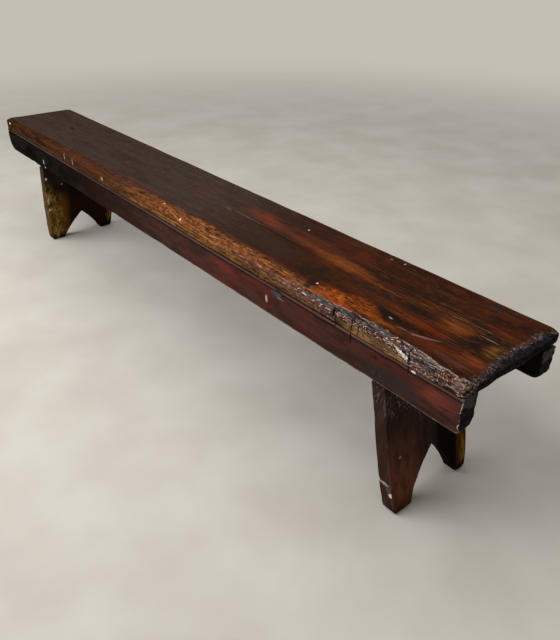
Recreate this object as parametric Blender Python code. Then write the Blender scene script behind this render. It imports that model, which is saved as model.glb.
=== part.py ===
"""Pig bench: a long plank seat on two splayed board legs, with an apron under each long edge.

Metres, +Z up. The origin is on the floor below the middle of the seat. +X runs along the seat to
the near end, which has the shorter overhang, and -Y is the worn front edge.
"""
import math

import bmesh
import bpy
from mathutils import Matrix, Vector

# Fit between touching pieces
CLEARANCE = 0.0003

# Seat plank, an eleven inch board that narrows a little towards the far end
SEAT_HEIGHT = 0.440
SEAT_LENGTH = 2.316
SEAT_THICKNESS = 0.036
WIDTH_NEAR = 0.284
WIDTH_FAR = 0.273
REAR_ARRIS = 0.005
NEAR_FRONT_CORNER = 0.024
NEAR_REAR_CORNER = 0.008
FAR_FRONT_CORNER = 0.032
FAR_REAR_CORNER = 0.028
FAR_END_SKEW = 0.012
SKEW_REACH = 0.300

# Wear on the seat: a rolled front edge, widest ahead of the near leg, and rolled ends
WEAR_WIDTH_FAR = 0.014
WEAR_WIDTH_PEAK = 0.044
WEAR_WIDTH_NEAR = 0.016
WEAR_PEAK_FROM_NEAR_END = 0.438
WEAR_STOP_FROM_NEAR_END = 0.180
WEAR_FALL = 0.28
NEAR_WEAR_LENGTH = 0.022
NEAR_WEAR_DROP = 0.008
NEAR_UNDERCUT_LENGTH = 0.018
NEAR_UNDERCUT_RISE = 0.010
FAR_WEAR_LENGTH = 0.008
FAR_WEAR_DROP = 0.002

# Aprons, with a quirked bead along the top of the outer face
FRONT_APRON_HEIGHT = 0.081
REAR_APRON_HEIGHT = 0.075
APRON_THICKNESS = 0.040
BEAD_RADIUS = 0.0045
QUIRK_WIDTH = 0.0018
APRON_LOWER_ARRIS = 0.004
APRON_WANE = 0.015
FRONT_APRON_NEAR_SETBACK = 0.008
FRONT_APRON_FAR_SETBACK = 0.017
REAR_APRON_NEAR_SETBACK = 0.002
REAR_APRON_FAR_SETBACK = 0.015
FRONT_APRON_NEAR_CORNER = 0.006
FRONT_APRON_FAR_CORNER = 0.040
REAR_APRON_NEAR_CORNER = 0.022
REAR_APRON_FAR_CORNER = 0.036

# Legs, each one board that leans out towards its own end of the seat
LEG_THICKNESS = 0.036
FOOT_ROUND_IN = 0.013
FOOT_ROUND_UP = 0.150
TOE_RADIUS = 0.012
NEAR_FOOT_FROM_END = 0.149
NEAR_SPLAY = math.radians(10.5)
NEAR_FRONT_INSET = 0.000
NEAR_REAR_INSET = 0.017
NEAR_NOTCH_WIDTH = 0.152
NEAR_NOTCH_HEIGHT = 0.123
NEAR_NOTCH_BOW = 0.007
FAR_FOOT_FROM_END = 0.273
FAR_SPLAY = math.radians(11.8)
FAR_FRONT_INSET = -0.004
FAR_REAR_INSET = 0.000
FAR_NOTCH_WIDTH = 0.150
FAR_NOTCH_HEIGHT = 0.102
FAR_NOTCH_BOW = 0.004

# Cut nails, wider along the grain, with a tapering shank
NAIL_LENGTH = 0.070
NAIL_HEAD_WIDTH = 0.009
NAIL_HEAD_BREADTH = 0.006
NAIL_HEAD_DEPTH = 0.003
NAIL_SHANK_WIDTH = 0.0055
NAIL_SHANK_BREADTH = 0.0038
NAIL_TIP_WIDTH = 0.0025
NAIL_SET = 0.0015
NAIL_HOLE_MOUTH = 0.012
EDGE_NAILS = 7
EDGE_NAIL_END_DISTANCE = 0.098
LEG_NAIL_SPACING = 0.100
JOINT_NAIL_SPACING = 0.036

# Facets
ARC_STEPS = 6
SMOOTH_ANGLE = math.radians(35)
SEAT_STATIONS = 12

# Heights and ends that follow from the sizes above
SEAT_UNDERSIDE = SEAT_HEIGHT - SEAT_THICKNESS
APRON_TOP = SEAT_UNDERSIDE - CLEARANCE
NEAR_END = SEAT_LENGTH / 2
FAR_END = -SEAT_LENGTH / 2
FRONT = -1
REAR = 1
APRON_BOTTOM = {FRONT: APRON_TOP - FRONT_APRON_HEIGHT, REAR: APRON_TOP - REAR_APRON_HEIGHT}


def clear_scene():
    """Remove what the file starts with."""
    for item in list(bpy.data.objects):
        bpy.data.objects.remove(item, do_unlink=True)


def linear(channel):
    """One sRGB channel, 0 to 1, as linear light."""
    if channel <= 0.04045:
        return channel / 12.92
    return ((channel + 0.055) / 1.055) ** 2.4


def make_material(name, colour, roughness, metallic=0.0):
    """A Principled material from a colour written as six hex digits."""
    channels = [int(colour[at:at + 2], 16) / 255 for at in (0, 2, 4)]
    material = bpy.data.materials.new(name)
    material.use_nodes = True
    shader = material.node_tree.nodes["Principled BSDF"]
    shader.inputs["Base Color"].default_value = [linear(value) for value in channels] + [1.0]
    shader.inputs["Roughness"].default_value = roughness
    shader.inputs["Metallic"].default_value = metallic
    return material


def add_object(name, bm, parent, material=None):
    """Turn a bmesh into a named object under the bench's empty, with its faces pointing out."""
    bmesh.ops.recalc_face_normals(bm, faces=bm.faces)
    mesh = bpy.data.meshes.new(name)
    bm.to_mesh(mesh)
    bm.free()
    if material:
        mesh.materials.append(material)
    mesh.shade_smooth()
    mesh.set_sharp_from_angle(angle=SMOOTH_ANGLE)
    item = bpy.data.objects.new(name, mesh)
    item.parent = parent
    bpy.context.collection.objects.link(item)
    return item


def loft(bm, rings):
    """Skin a row of rings that hold equally many points, and close both ends."""
    loops = [[bm.verts.new(point) for point in ring] for ring in rings]
    for near, far in zip(loops, loops[1:]):
        for at in range(len(near)):
            after = (at + 1) % len(near)
            bm.faces.new((near[at], near[after], far[after], far[at]))
    bm.faces.new(reversed(loops[0]))
    bm.faces.new(loops[-1])


def quarter_steps():
    """Angles that divide a quarter turn, its ends included."""
    return [math.pi / 2 * step / ARC_STEPS for step in range(ARC_STEPS + 1)]


def corner_inset(radius, distance):
    """How far a rounded corner stands in from the edge, at a distance in from the end."""
    if distance >= radius:
        return 0.0
    return radius - math.sqrt(radius ** 2 - (radius - distance) ** 2)


def corner_stations(radius):
    """Distances in from an end at which a rounded corner of this radius has its points."""
    return [radius * (1 - math.cos(angle)) for angle in quarter_steps()]


def even_steps(length, count):
    """Distances that divide a length evenly, its ends included."""
    return [length * step / count for step in range(count + 1)]


def merged_stations(values):
    """Sorted stations without those closer together than the clearance, both ends kept."""
    first, *between, last = sorted(values)
    kept = [first]
    for value in between:
        if value - kept[-1] > CLEARANCE and last - value > CLEARANCE:
            kept.append(value)
    return kept + [last]


def half_width(x):
    """Half the width of the seat at a place along it."""
    share = (x - FAR_END) / SEAT_LENGTH
    return (WIDTH_FAR + (WIDTH_NEAR - WIDTH_FAR) * share) / 2


def blend(low, high, share):
    """Ease from one value to another while the share runs from 0 to 1."""
    share = min(max(share, 0.0), 1.0)
    return low + (high - low) * share * share * (3 - 2 * share)


def wear_width(x):
    """Width of the rolled front edge at a place along the seat."""
    from_near = NEAR_END - x
    if from_near > WEAR_PEAK_FROM_NEAR_END:
        rise = (SEAT_LENGTH - from_near) / (SEAT_LENGTH - WEAR_PEAK_FROM_NEAR_END)
        return WEAR_WIDTH_FAR + (WEAR_WIDTH_PEAK - WEAR_WIDTH_FAR) * rise
    run = WEAR_PEAK_FROM_NEAR_END - WEAR_STOP_FROM_NEAR_END
    return blend(WEAR_WIDTH_PEAK, WEAR_WIDTH_NEAR, (WEAR_PEAK_FROM_NEAR_END - from_near) / run)


def rolled_off(distance, length, depth):
    """How far a rolled end has worn away, at a distance in from that end."""
    return depth * max(1 - distance / length, 0.0) ** 2


def seat_levels(x):
    """Heights of the seat's underside and of its flat top, with both ends rolled off."""
    underside = SEAT_UNDERSIDE + rolled_off(NEAR_END - x, NEAR_UNDERCUT_LENGTH, NEAR_UNDERCUT_RISE)
    top = SEAT_HEIGHT - rolled_off(NEAR_END - x, NEAR_WEAR_LENGTH, NEAR_WEAR_DROP)
    top -= rolled_off(x - FAR_END, FAR_WEAR_LENGTH, FAR_WEAR_DROP)
    return underside, top


def seat_edges(x):
    """The y of the seat's front and rear edges, with its corners rounded in plan."""
    front = -half_width(x)
    front += corner_inset(NEAR_FRONT_CORNER, NEAR_END - x)
    front += corner_inset(FAR_FRONT_CORNER, x - FAR_END)
    rear = half_width(x)
    rear -= corner_inset(NEAR_REAR_CORNER, NEAR_END - x)
    rear -= corner_inset(FAR_REAR_CORNER, x - FAR_END)
    return front, rear


def seat_top(x, y):
    """Height of the worn top at a place on the seat."""
    front, _ = seat_edges(x)
    _, level = seat_levels(x)
    width = wear_width(x)
    share = 1 - min((y - front) / width, 1.0)
    return level - width * WEAR_FALL * (1 - math.sqrt(1 - share ** 2))


def seat_ring(x):
    """Cross-section of the seat: bottom, rolled front edge, flat top and rear arris."""
    front, rear = seat_edges(x)
    underside, level = seat_levels(x)
    width = wear_width(x)
    outline = [(rear, underside), (front, underside)]
    for angle in quarter_steps():
        y = front + width * (1 - math.cos(angle))
        outline.append((y, level - width * WEAR_FALL * (1 - math.sin(angle))))
    for angle in quarter_steps():
        outline.append((rear - REAR_ARRIS * (1 - math.sin(angle)),
                        level - REAR_ARRIS * (1 - math.cos(angle))))
    skew = FAR_END_SKEW * max(1 - (x - FAR_END) / SKEW_REACH, 0.0)
    return [Vector((x + skew * (y - front) / (rear - front), y, z)) for y, z in outline]


def make_seat(parent, material):
    """The seat plank, lofted along its length through its worn cross-sections."""
    near = corner_stations(NEAR_FRONT_CORNER) + corner_stations(NEAR_REAR_CORNER)
    near += even_steps(NEAR_WEAR_LENGTH, ARC_STEPS) + even_steps(NEAR_UNDERCUT_LENGTH, ARC_STEPS)
    far = corner_stations(FAR_FRONT_CORNER) + corner_stations(FAR_REAR_CORNER)
    far += even_steps(FAR_WEAR_LENGTH, ARC_STEPS)
    stations = [NEAR_END - value for value in near] + [FAR_END + value for value in far]
    stations += [FAR_END + value for value in even_steps(SEAT_LENGTH, SEAT_STATIONS)]
    stations += [FAR_END + SKEW_REACH, NEAR_END - WEAR_PEAK_FROM_NEAR_END]
    stations += [NEAR_END - WEAR_STOP_FROM_NEAR_END]
    bm = bmesh.new()
    loft(bm, [seat_ring(x) for x in merged_stations(stations)])
    return add_object("seat_board", bm, parent, material)


def apron_ring(x, side, bottom):
    """Cross-section of an apron: bead and quirk outside, waney corner inside."""
    quirk_top = APRON_TOP - 2 * BEAD_RADIUS
    quirk_bottom = quirk_top - QUIRK_WIDTH
    outline = [(0.0, quirk_bottom), (BEAD_RADIUS * 0.8, quirk_bottom)]
    for step in range(ARC_STEPS + 1):
        angle = math.pi * step / ARC_STEPS
        outline.append((BEAD_RADIUS * (1 - math.sin(angle)),
                        APRON_TOP - BEAD_RADIUS * (1 + math.cos(angle))))
    outline.append((APRON_THICKNESS, APRON_TOP))
    for angle in quarter_steps():
        outline.append((APRON_THICKNESS - APRON_WANE * (1 - math.cos(angle)),
                        bottom + APRON_WANE * (1 - math.sin(angle))))
    for angle in quarter_steps():
        outline.append((APRON_LOWER_ARRIS * (1 - math.sin(angle)),
                        bottom + APRON_LOWER_ARRIS * (1 - math.cos(angle))))
    return [Vector((x, side * (half_width(x) - inward), z)) for inward, z in outline]


def make_apron(name, side, ends, corners, parent, material):
    """An apron board, lofted along its length, with the lower corner of each end rounded off."""
    near_end, far_end = ends
    near_corner, far_corner = corners
    stations = [near_end - value for value in corner_stations(near_corner)]
    stations += [far_end + value for value in corner_stations(far_corner)]
    rings = []
    for x in merged_stations(stations):
        bottom = APRON_BOTTOM[side] + corner_inset(near_corner, near_end - x)
        bottom += corner_inset(far_corner, x - far_end)
        rings.append(apron_ring(x, side, bottom))
    bm = bmesh.new()
    loft(bm, rings)
    return add_object(name, bm, parent, material)


def bowed_line(start, end, bow):
    """Points of an arc between two points of the leg's outline, bowed out to its left."""
    start = Vector(start)
    end = Vector(end)
    chord = end - start
    left = Vector((-chord.y, chord.x)).normalized()
    points = []
    for step in range(ARC_STEPS + 1):
        share = step / ARC_STEPS
        points.append(start + chord * share + left * (4 * bow * share * (1 - share)))
    return points


def foot(side, outer, toe):
    """Outline of one foot, from its outer side down to where its rounded toe meets the notch."""
    points = []
    for angle in quarter_steps():
        points.append(Vector((side * (outer - FOOT_ROUND_IN * (1 - math.cos(angle))),
                              FOOT_ROUND_UP * (1 - math.sin(angle)))))
    for angle in quarter_steps():
        points.append(Vector((side * (toe + TOE_RADIUS * (1 - math.sin(angle))),
                              TOE_RADIUS * (1 - math.cos(angle)))))
    return points


def leg_outline(sides, neck, notch_width, notch_height, notch_bow):
    """Outline of a leg board, seen along the bench: neck, shoulders, two feet and the notch."""
    toe = notch_width / 2
    top = SEAT_UNDERSIDE - CLEARANCE
    halves = {}
    for side, outer in sides.items():
        shoulder = APRON_BOTTOM[side] - CLEARANCE
        half = [Vector((side * neck, top)), Vector((side * neck, shoulder))]
        half += [Vector((side * outer, shoulder))] + foot(side, outer, toe)
        halves[side] = half
    apex = (0.0, notch_height)
    points = halves[FRONT] + bowed_line((-toe, TOE_RADIUS), apex, notch_bow)[1:]
    points += bowed_line(apex, (toe, TOE_RADIUS), notch_bow)[1:-1]
    return points + halves[REAR][::-1]


def leg_lean(splay, z):
    """How far a leg stands in from its foot at a height, along the bench."""
    return -math.tan(splay) * z


def make_leg(name, foot_x, splay, insets, notch, parent, material):
    """A leg board: its outline pushed through the board's thickness and leaned along the bench."""
    reach = LEG_THICKNESS / 2
    heights = (SEAT_UNDERSIDE, *APRON_BOTTOM.values())
    spots = [foot_x + leg_lean(splay, z) for z in heights]
    neck = half_width(min(spots) - reach) - APRON_THICKNESS - CLEARANCE
    sides = {side: half_width(spots[0]) - inset for side, inset in insets.items()}
    outline = leg_outline(sides, neck, *notch)
    rings = []
    for offset in (-reach, reach):
        rings.append([Vector((offset + leg_lean(splay, z), y, z)) for y, z in outline])
    bm = bmesh.new()
    loft(bm, rings)
    leg = add_object(name, bm, parent, material)
    leg.location = (foot_x, 0.0, 0.0)
    return leg


def nail_rings(grow, mouth):
    """Square sections of a nail that points down, grown for its hole and given an open mouth."""
    sections = [(0.0, NAIL_HEAD_WIDTH, NAIL_HEAD_BREADTH),
                (-NAIL_HEAD_DEPTH, NAIL_SHANK_WIDTH, NAIL_SHANK_BREADTH),
                (-NAIL_LENGTH - grow, NAIL_TIP_WIDTH, NAIL_SHANK_BREADTH)]
    if mouth:
        sections.insert(0, (mouth, NAIL_HEAD_WIDTH, NAIL_HEAD_BREADTH))
    rings = []
    for z, width, breadth in sections:
        x = width / 2 + grow
        y = breadth / 2 + grow
        rings.append([Vector((-x, -y, z)), Vector((x, -y, z)), Vector((x, y, z)), Vector((-x, y, z))])
    return rings


def seat_nail_place(x, y):
    """Where a nail's head sits below the worn top of the seat, pointing down."""
    return Matrix.Translation((x, y, seat_top(x, y) - NAIL_SET))


def joint_nail_place(x, side, z):
    """Where a nail's head sits below an apron's outer face, pointing into the leg."""
    turn = Matrix.Rotation(-side * math.pi / 2, 4, "X")
    return Matrix.Translation((x, side * (half_width(x) - NAIL_SET), z)) @ turn


def edge_nail_places(side):
    """Nails through the seat into one apron, evenly spaced along it."""
    first = FAR_END + EDGE_NAIL_END_DISTANCE
    pitch = (SEAT_LENGTH - 2 * EDGE_NAIL_END_DISTANCE) / (EDGE_NAILS - 1)
    places = []
    for count in range(EDGE_NAILS):
        x = first + pitch * count
        places.append(seat_nail_place(x, side * (half_width(x) - APRON_THICKNESS / 2)))
    return places


def leg_nail_places(foot_x, splay):
    """Nails through the seat into the top of one leg."""
    x = foot_x + leg_lean(splay, SEAT_UNDERSIDE)
    return [seat_nail_place(x, side * LEG_NAIL_SPACING / 2) for side in (FRONT, REAR)]


def joint_nail_places(foot_x, splay, side):
    """Nails through one apron into the neck of one leg, one above the other."""
    middle = (APRON_TOP + APRON_BOTTOM[side]) / 2
    places = []
    for offset in (-JOINT_NAIL_SPACING / 2, JOINT_NAIL_SPACING / 2):
        z = middle + offset
        places.append(joint_nail_place(foot_x + leg_lean(splay, z), side, z))
    return places


def make_nails(name, places, mesh, parent):
    """One nail object at each place, all sharing one mesh."""
    for count, place in enumerate(places, start=1):
        nail = bpy.data.objects.new(f"{name}_{count}", mesh)
        nail.parent = parent
        nail.matrix_local = place
        bpy.context.collection.objects.link(nail)


def make_nail_mesh(material):
    """The mesh that every nail shares."""
    bm = bmesh.new()
    loft(bm, nail_rings(0.0, 0.0))
    bmesh.ops.recalc_face_normals(bm, faces=bm.faces)
    mesh = bpy.data.meshes.new("cut_nail")
    bm.to_mesh(mesh)
    bm.free()
    mesh.materials.append(material)
    return mesh


def drill(board, places, parent):
    """Cut the holes for a set of nails out of a board."""
    bm = bmesh.new()
    for place in places:
        world_to_board = Matrix.Translation(-board.location)
        rings = nail_rings(CLEARANCE, NAIL_HOLE_MOUTH)
        loft(bm, [[world_to_board @ place @ point for point in ring] for ring in rings])
    cutter = add_object(board.name + "_holes", bm, parent)
    cutter.location = board.location
    cutter.hide_render = True
    cutter.display_type = "WIRE"
    cut = board.modifiers.new("nail_holes", "BOOLEAN")
    cut.operation = "DIFFERENCE"
    cut.solver = "EXACT"
    cut.object = cutter


def main():
    """Build the bench."""
    clear_scene()
    bench = bpy.data.objects.new("pig_bench", None)
    bpy.context.collection.objects.link(bench)

    seat = make_seat(bench, make_material("seat_wood", "4a2a1a", 0.35))
    front_apron = make_apron("front_apron", FRONT,
                             (NEAR_END - FRONT_APRON_NEAR_SETBACK, FAR_END + FRONT_APRON_FAR_SETBACK),
                             (FRONT_APRON_NEAR_CORNER, FRONT_APRON_FAR_CORNER),
                             bench, make_material("front_apron_wood", "5a2a20", 0.40))
    rear_apron = make_apron("rear_apron", REAR,
                            (NEAR_END - REAR_APRON_NEAR_SETBACK, FAR_END + REAR_APRON_FAR_SETBACK),
                            (REAR_APRON_NEAR_CORNER, REAR_APRON_FAR_CORNER),
                            bench, make_material("rear_apron_wood", "4a2420", 0.45))

    near_foot = NEAR_END - NEAR_FOOT_FROM_END
    far_foot = FAR_END + FAR_FOOT_FROM_END
    near_leg = make_leg("near_leg", near_foot, NEAR_SPLAY,
                        {FRONT: NEAR_FRONT_INSET, REAR: NEAR_REAR_INSET},
                        (NEAR_NOTCH_WIDTH, NEAR_NOTCH_HEIGHT, NEAR_NOTCH_BOW),
                        bench, make_material("near_leg_wood", "38201a", 0.45))
    far_leg = make_leg("far_leg", far_foot, -FAR_SPLAY,
                       {FRONT: FAR_FRONT_INSET, REAR: FAR_REAR_INSET},
                       (FAR_NOTCH_WIDTH, FAR_NOTCH_HEIGHT, FAR_NOTCH_BOW),
                       bench, make_material("far_leg_wood", "7a6236", 0.60))

    nail_mesh = make_nail_mesh(make_material("nail_iron", "1e1c1c", 0.60, 0.8))
    seat_holes = []
    for name, side, apron in (("front", FRONT, front_apron), ("rear", REAR, rear_apron)):
        edge_nails = edge_nail_places(side)
        near_joint = joint_nail_places(near_foot, NEAR_SPLAY, side)
        far_joint = joint_nail_places(far_foot, -FAR_SPLAY, side)
        make_nails(f"{name}_edge_nail", edge_nails, nail_mesh, bench)
        make_nails(f"{name}_near_joint_nail", near_joint, nail_mesh, bench)
        make_nails(f"{name}_far_joint_nail", far_joint, nail_mesh, bench)
        drill(apron, edge_nails + near_joint + far_joint, bench)
        seat_holes += edge_nails
    for name, foot, splay, leg in (("near", near_foot, NEAR_SPLAY, near_leg),
                                   ("far", far_foot, -FAR_SPLAY, far_leg)):
        leg_nails = leg_nail_places(foot, splay)
        joint_nails = joint_nail_places(foot, splay, FRONT) + joint_nail_places(foot, splay, REAR)
        make_nails(f"{name}_leg_nail", leg_nails, nail_mesh, bench)
        drill(leg, leg_nails + joint_nails, bench)
        seat_holes += leg_nails
    drill(seat, seat_holes, bench)


main()
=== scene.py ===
"""Pig bench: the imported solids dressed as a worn, stained and waxed pine bench.

Metres, +Z up, +X to the near end and -Y to the worn front edge. Each board is a grid of points worked
out with numpy, and the cut nails are the CAD nodes with an iron finish.
"""
import math

import bpy
import numpy as np
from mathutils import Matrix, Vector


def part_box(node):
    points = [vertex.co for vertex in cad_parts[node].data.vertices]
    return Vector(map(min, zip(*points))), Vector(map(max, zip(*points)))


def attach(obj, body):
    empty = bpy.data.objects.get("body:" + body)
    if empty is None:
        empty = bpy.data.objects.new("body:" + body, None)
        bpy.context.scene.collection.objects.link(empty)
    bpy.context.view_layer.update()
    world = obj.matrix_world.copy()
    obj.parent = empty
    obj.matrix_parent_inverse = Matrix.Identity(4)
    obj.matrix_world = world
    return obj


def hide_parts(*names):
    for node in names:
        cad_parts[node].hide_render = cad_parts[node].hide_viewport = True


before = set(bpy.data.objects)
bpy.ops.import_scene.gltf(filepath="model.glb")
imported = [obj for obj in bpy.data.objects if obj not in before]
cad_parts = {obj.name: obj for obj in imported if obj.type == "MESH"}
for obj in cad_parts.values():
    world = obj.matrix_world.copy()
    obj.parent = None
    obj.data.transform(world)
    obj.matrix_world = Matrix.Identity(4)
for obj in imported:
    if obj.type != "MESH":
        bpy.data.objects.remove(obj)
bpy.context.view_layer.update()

# Sizes repeated from the part's source
CLEARANCE = 0.0003
SEAT_HEIGHT = 0.440
SEAT_LENGTH = 2.316
SEAT_THICKNESS = 0.036
WIDTH_NEAR = 0.284
WIDTH_FAR = 0.273
REAR_ARRIS = 0.005
NEAR_FRONT_CORNER = 0.024
FAR_FRONT_CORNER = 0.032
FAR_REAR_CORNER = 0.028
FAR_END_SKEW = 0.012
SKEW_REACH = 0.300
WEAR_WIDTH_FAR = 0.014
WEAR_WIDTH_PEAK = 0.044
WEAR_WIDTH_NEAR = 0.016
WEAR_PEAK_FROM_NEAR_END = 0.438
WEAR_STOP_FROM_NEAR_END = 0.180
WEAR_FALL = 0.28
NEAR_WEAR_LENGTH = 0.022
NEAR_WEAR_DROP = 0.008
NEAR_UNDERCUT_LENGTH = 0.018
NEAR_UNDERCUT_RISE = 0.010
FAR_WEAR_LENGTH = 0.008
FAR_WEAR_DROP = 0.002
APRON_THICKNESS = 0.040
BEAD_RADIUS = 0.0045
QUIRK_WIDTH = 0.0018
QUIRK_DEPTH = BEAD_RADIUS * 0.8
APRON_LOWER_ARRIS = 0.004
APRON_WANE = 0.015
LEG_THICKNESS = 0.036
FOOT_ROUND_IN = 0.013
FOOT_ROUND_UP = 0.150
TOE_RADIUS = 0.012
NEAR_SPLAY = math.radians(10.5)
FAR_SPLAY = math.radians(-11.8)

NEAR_END = SEAT_LENGTH / 2
FAR_END = -SEAT_LENGTH / 2
UNDERSIDE = SEAT_HEIGHT - SEAT_THICKNESS
APRON_TOP = UNDERSIDE - CLEARANCE
FRONT = -1
REAR = 1
APRON_BOTTOM = {FRONT: APRON_TOP - 0.081, REAR: APRON_TOP - 0.075}
# Each apron's near end and far end, as places along the bench
APRON_ENDS = {FRONT: (NEAR_END - 0.008, FAR_END + 0.017), REAR: (NEAR_END - 0.002, FAR_END + 0.015)}
# Where each leg's foot stands along the bench
NEAR_FOOT = NEAR_END - 0.149
FAR_FOOT = FAR_END + 0.273
# How far each leg's feet stand in from the edge, and the width, height and bow of its notch
NEAR_INSETS = {FRONT: 0.0, REAR: 0.017}
FAR_INSETS = {FRONT: -0.004, REAR: 0.0}
NEAR_NOTCH = (0.152, 0.123, 0.007)
FAR_NOTCH = (0.150, 0.102, 0.004)

# Corners worn otherwise than in the solids: the seat's near rear one is 4 mm sharper, and the near one of
# the front apron 5 mm rounder. An apron's two are its near and far lower corners
NEAR_REAR_CORNER = 0.004
APRON_CORNERS = {FRONT: (0.011, 0.040), REAR: (0.022, 0.036)}

# How many rings each surface has along the bench, and steps round a leg's horseshoe for each foot
SEAT_STATIONS = 700
APRON_STATIONS = 620
LEG_STEPS = 110

SEAT_LOWER_ARRIS = 0.0009
LEG_ARRIS = 0.004
# How far the middle of an end stands proud of its outline, and how far in from the outline it starts
END_PROUD = 0.0008
SEAT_END_MIDDLE = 0.014
APRON_END_MIDDLE = 0.018
# How far a foot is eased in at the floor, and up to what height
FOOT_EASE_IN = 0.0030
FOOT_EASE_UP = 0.006

# Depths of the wear, and the radii between which a nail's wax stopping fades out
SEAT_SAW_DEPTH = 0.0065
APRON_SAW_DEPTH = 0.0034
HOLE_DEPTH = 0.0075
STOPPING_DIP = 0.0005
STOPPING_OUTSIDE = 0.0075
STOPPING_INSIDE = 0.0030
# The small hole in the front edge: its place along the bench, half its length and its reach inward
HOLE_AT = 0.811
HOLE_HALF = 0.0055
HOLE_REACH = 0.013

# Saw cuts across the front edge: place along the bench, lowest point, and half the cut's width. Those past
# the lean's start lean by a share of their depth
SAW_LEAN_START = 1
SAW_LEAN = 0.10
SAW_CUTS = ((0.820, 0.395, 0.0007), (0.866, 0.376, 0.0009),
            (0.885, 0.405, 0.0007), (1.0165, 0.386, 0.0009))

# Profiles, as places and values there. The splintered edge's reach in from the front, along x
TORN_REACH = ((0.58, 0.70, 0.77, 0.84, 0.90, 0.94, 1.00, 1.06, 1.117, 1.158),
              (0.010, 0.0155, 0.0145, 0.020, 0.022, 0.021, 0.018, 0.0125, 0.009, 0.008))
# Its lower limit on the front face, along x
TORN_BOTTOM = ((0.70, 0.80, 0.892, 0.928, 0.956, 0.984, 1.007, 1.0165, 1.02),
               (0.430, 0.425, 0.4214, 0.4239, 0.4231, 0.4193, 0.4139, 0.4100, 0.400))
# The white chip's upper and lower edges, along x
CHIP_TOP = ((0.980, 0.994, 1.0155), (0.4312, 0.4272, 0.4225))
CHIP_BOTTOM = ((0.980, 0.994, 1.0155), (0.4300, 0.4222, 0.4120))
# Width of the worn band along the front edge, along x
WORN_WIDTH = ((-1.158, -0.90, -0.60, -0.20, 0.30, 0.55, 0.72, 1.158),
              (0.012, 0.017, 0.025, 0.033, 0.036, 0.035, 0.027, 0.016))
# How far the top is broken away at the near end, along y
BROKEN_END = ((-0.130, -0.110, -0.063, -0.010, 0.026, 0.068, 0.142),
              (0.0008, 0.0012, 0.006, 0.015, 0.013, 0.010, 0.004))

LATTICE = np.random.default_rng(1807).random((8, 256, 256)) * 2 - 1


def ease(low, high, value):
    """0 at low, 1 at high, and an S curve between them, which may run downwards."""
    share = np.clip((value - low) / (high - low), 0, 1)
    return share * share * (3 - 2 * share)


def lumps(layer, along, across):
    """Random heights from -1 to 1 at whole numbers of the two places, eased between them."""
    i = np.floor(along).astype(int)
    j = np.floor(across).astype(int)
    a = ease(0, 1, along - i)
    b = ease(0, 1, across - j)
    heights = LATTICE[layer]
    here = heights[i % 256, j % 256] * (1 - a) + heights[(i + 1) % 256, j % 256] * a
    beside = heights[i % 256, (j + 1) % 256] * (1 - a) + heights[(i + 1) % 256, (j + 1) % 256] * a
    return here * (1 - b) + beside * b


def rugged(layer, along, across):
    """Lumps with two finer sets on top, each half as high and twice as close as the one before."""
    total = lumps(layer, along, across)
    total = total + 0.5 * lumps(layer + 1, 2 * along + 31.7, 2 * across + 11.3)
    return total + 0.25 * lumps(layer + 2, 4 * along + 71.1, 4 * across + 53.9)


def packed(start, end, count, packing):
    """Places from start to end, an equal share of the packing apart, so they crowd where it is high."""
    fine = np.linspace(start, end, 40001)
    run = np.concatenate([[0], np.cumsum(packing((fine[1:] + fine[:-1]) / 2))])
    return np.interp(np.linspace(0, run[-1], count), run, fine)


def joined(rows, *stretches):
    """Stretches of a ring, one after another, each repeated for all rows if it is the same in them."""
    return np.concatenate([np.broadcast_to(part, (rows, part.shape[-1])) for part in stretches], axis=1)


def corner_inset(radius, distance):
    """How far a rounded corner stands in from the edge, at a distance from the end: a quarter circle."""
    rise = np.clip(radius - distance, 0, radius)
    return radius - np.sqrt(radius ** 2 - rise ** 2)


def half_width(x):
    """Half the bench's width, which tapers evenly from the near end to the far end."""
    return (WIDTH_FAR + (WIDTH_NEAR - WIDTH_FAR) * (x - FAR_END) / SEAT_LENGTH) / 2


def wear_width(x):
    """Width of the rolled front edge: it grows evenly to a peak ahead of the near leg, then eases off."""
    peak = NEAR_END - WEAR_PEAK_FROM_NEAR_END
    growing = WEAR_WIDTH_FAR + (WEAR_WIDTH_PEAK - WEAR_WIDTH_FAR) * (x - FAR_END) / (peak - FAR_END)
    eased = ease(peak, NEAR_END - WEAR_STOP_FROM_NEAR_END, x)
    return np.where(x < peak, growing, WEAR_WIDTH_PEAK - (WEAR_WIDTH_PEAK - WEAR_WIDTH_NEAR) * eased)


def skin(name, grid, tags):
    """Join each ring of the grid to the next, close each ring on itself, and fan each end to its mean.

    The faces are turned about if the volume they enclose comes out negative.
    """
    rows, around, _ = grid.shape
    index = np.arange(rows * around).reshape(rows, around)
    after = np.roll(index, -1, axis=1)
    first = np.full(around, rows * around)
    quads = np.stack([index[:-1], index[1:], after[1:], after[:-1]], axis=-1).reshape(-1, 4)
    fans = np.concatenate([np.stack([first, index[0], after[0]], axis=-1),
                           np.stack([first + 1, after[-1], index[-1]], axis=-1)])
    points = np.concatenate([grid.reshape(-1, 3), [grid[0].mean(axis=0), grid[-1].mean(axis=0)]])
    a, b, c, d = (points[quads[:, at]] for at in range(4))
    if np.sum(np.cross(a, b) * c) + np.sum(np.cross(a, c) * d) < 0:
        quads = quads[:, ::-1]
        fans = fans[:, ::-1]
    mesh = bpy.data.meshes.new(name)
    mesh.from_pydata(points.tolist(), [], quads.tolist() + fans.tolist())
    values = {tag: np.append(field, [field[0].mean(), field[-1].mean()]) for tag, field in tags.items()}
    values.update(zip("xyz", points.T))
    for tag, value in values.items():
        mesh.attributes.new(tag, "FLOAT", "POINT").data.foreach_set("value", value.astype(np.float32))
    mesh.shade_smooth()
    board = bpy.data.objects.new(name, mesh)
    bpy.context.scene.collection.objects.link(board)
    return board


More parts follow.
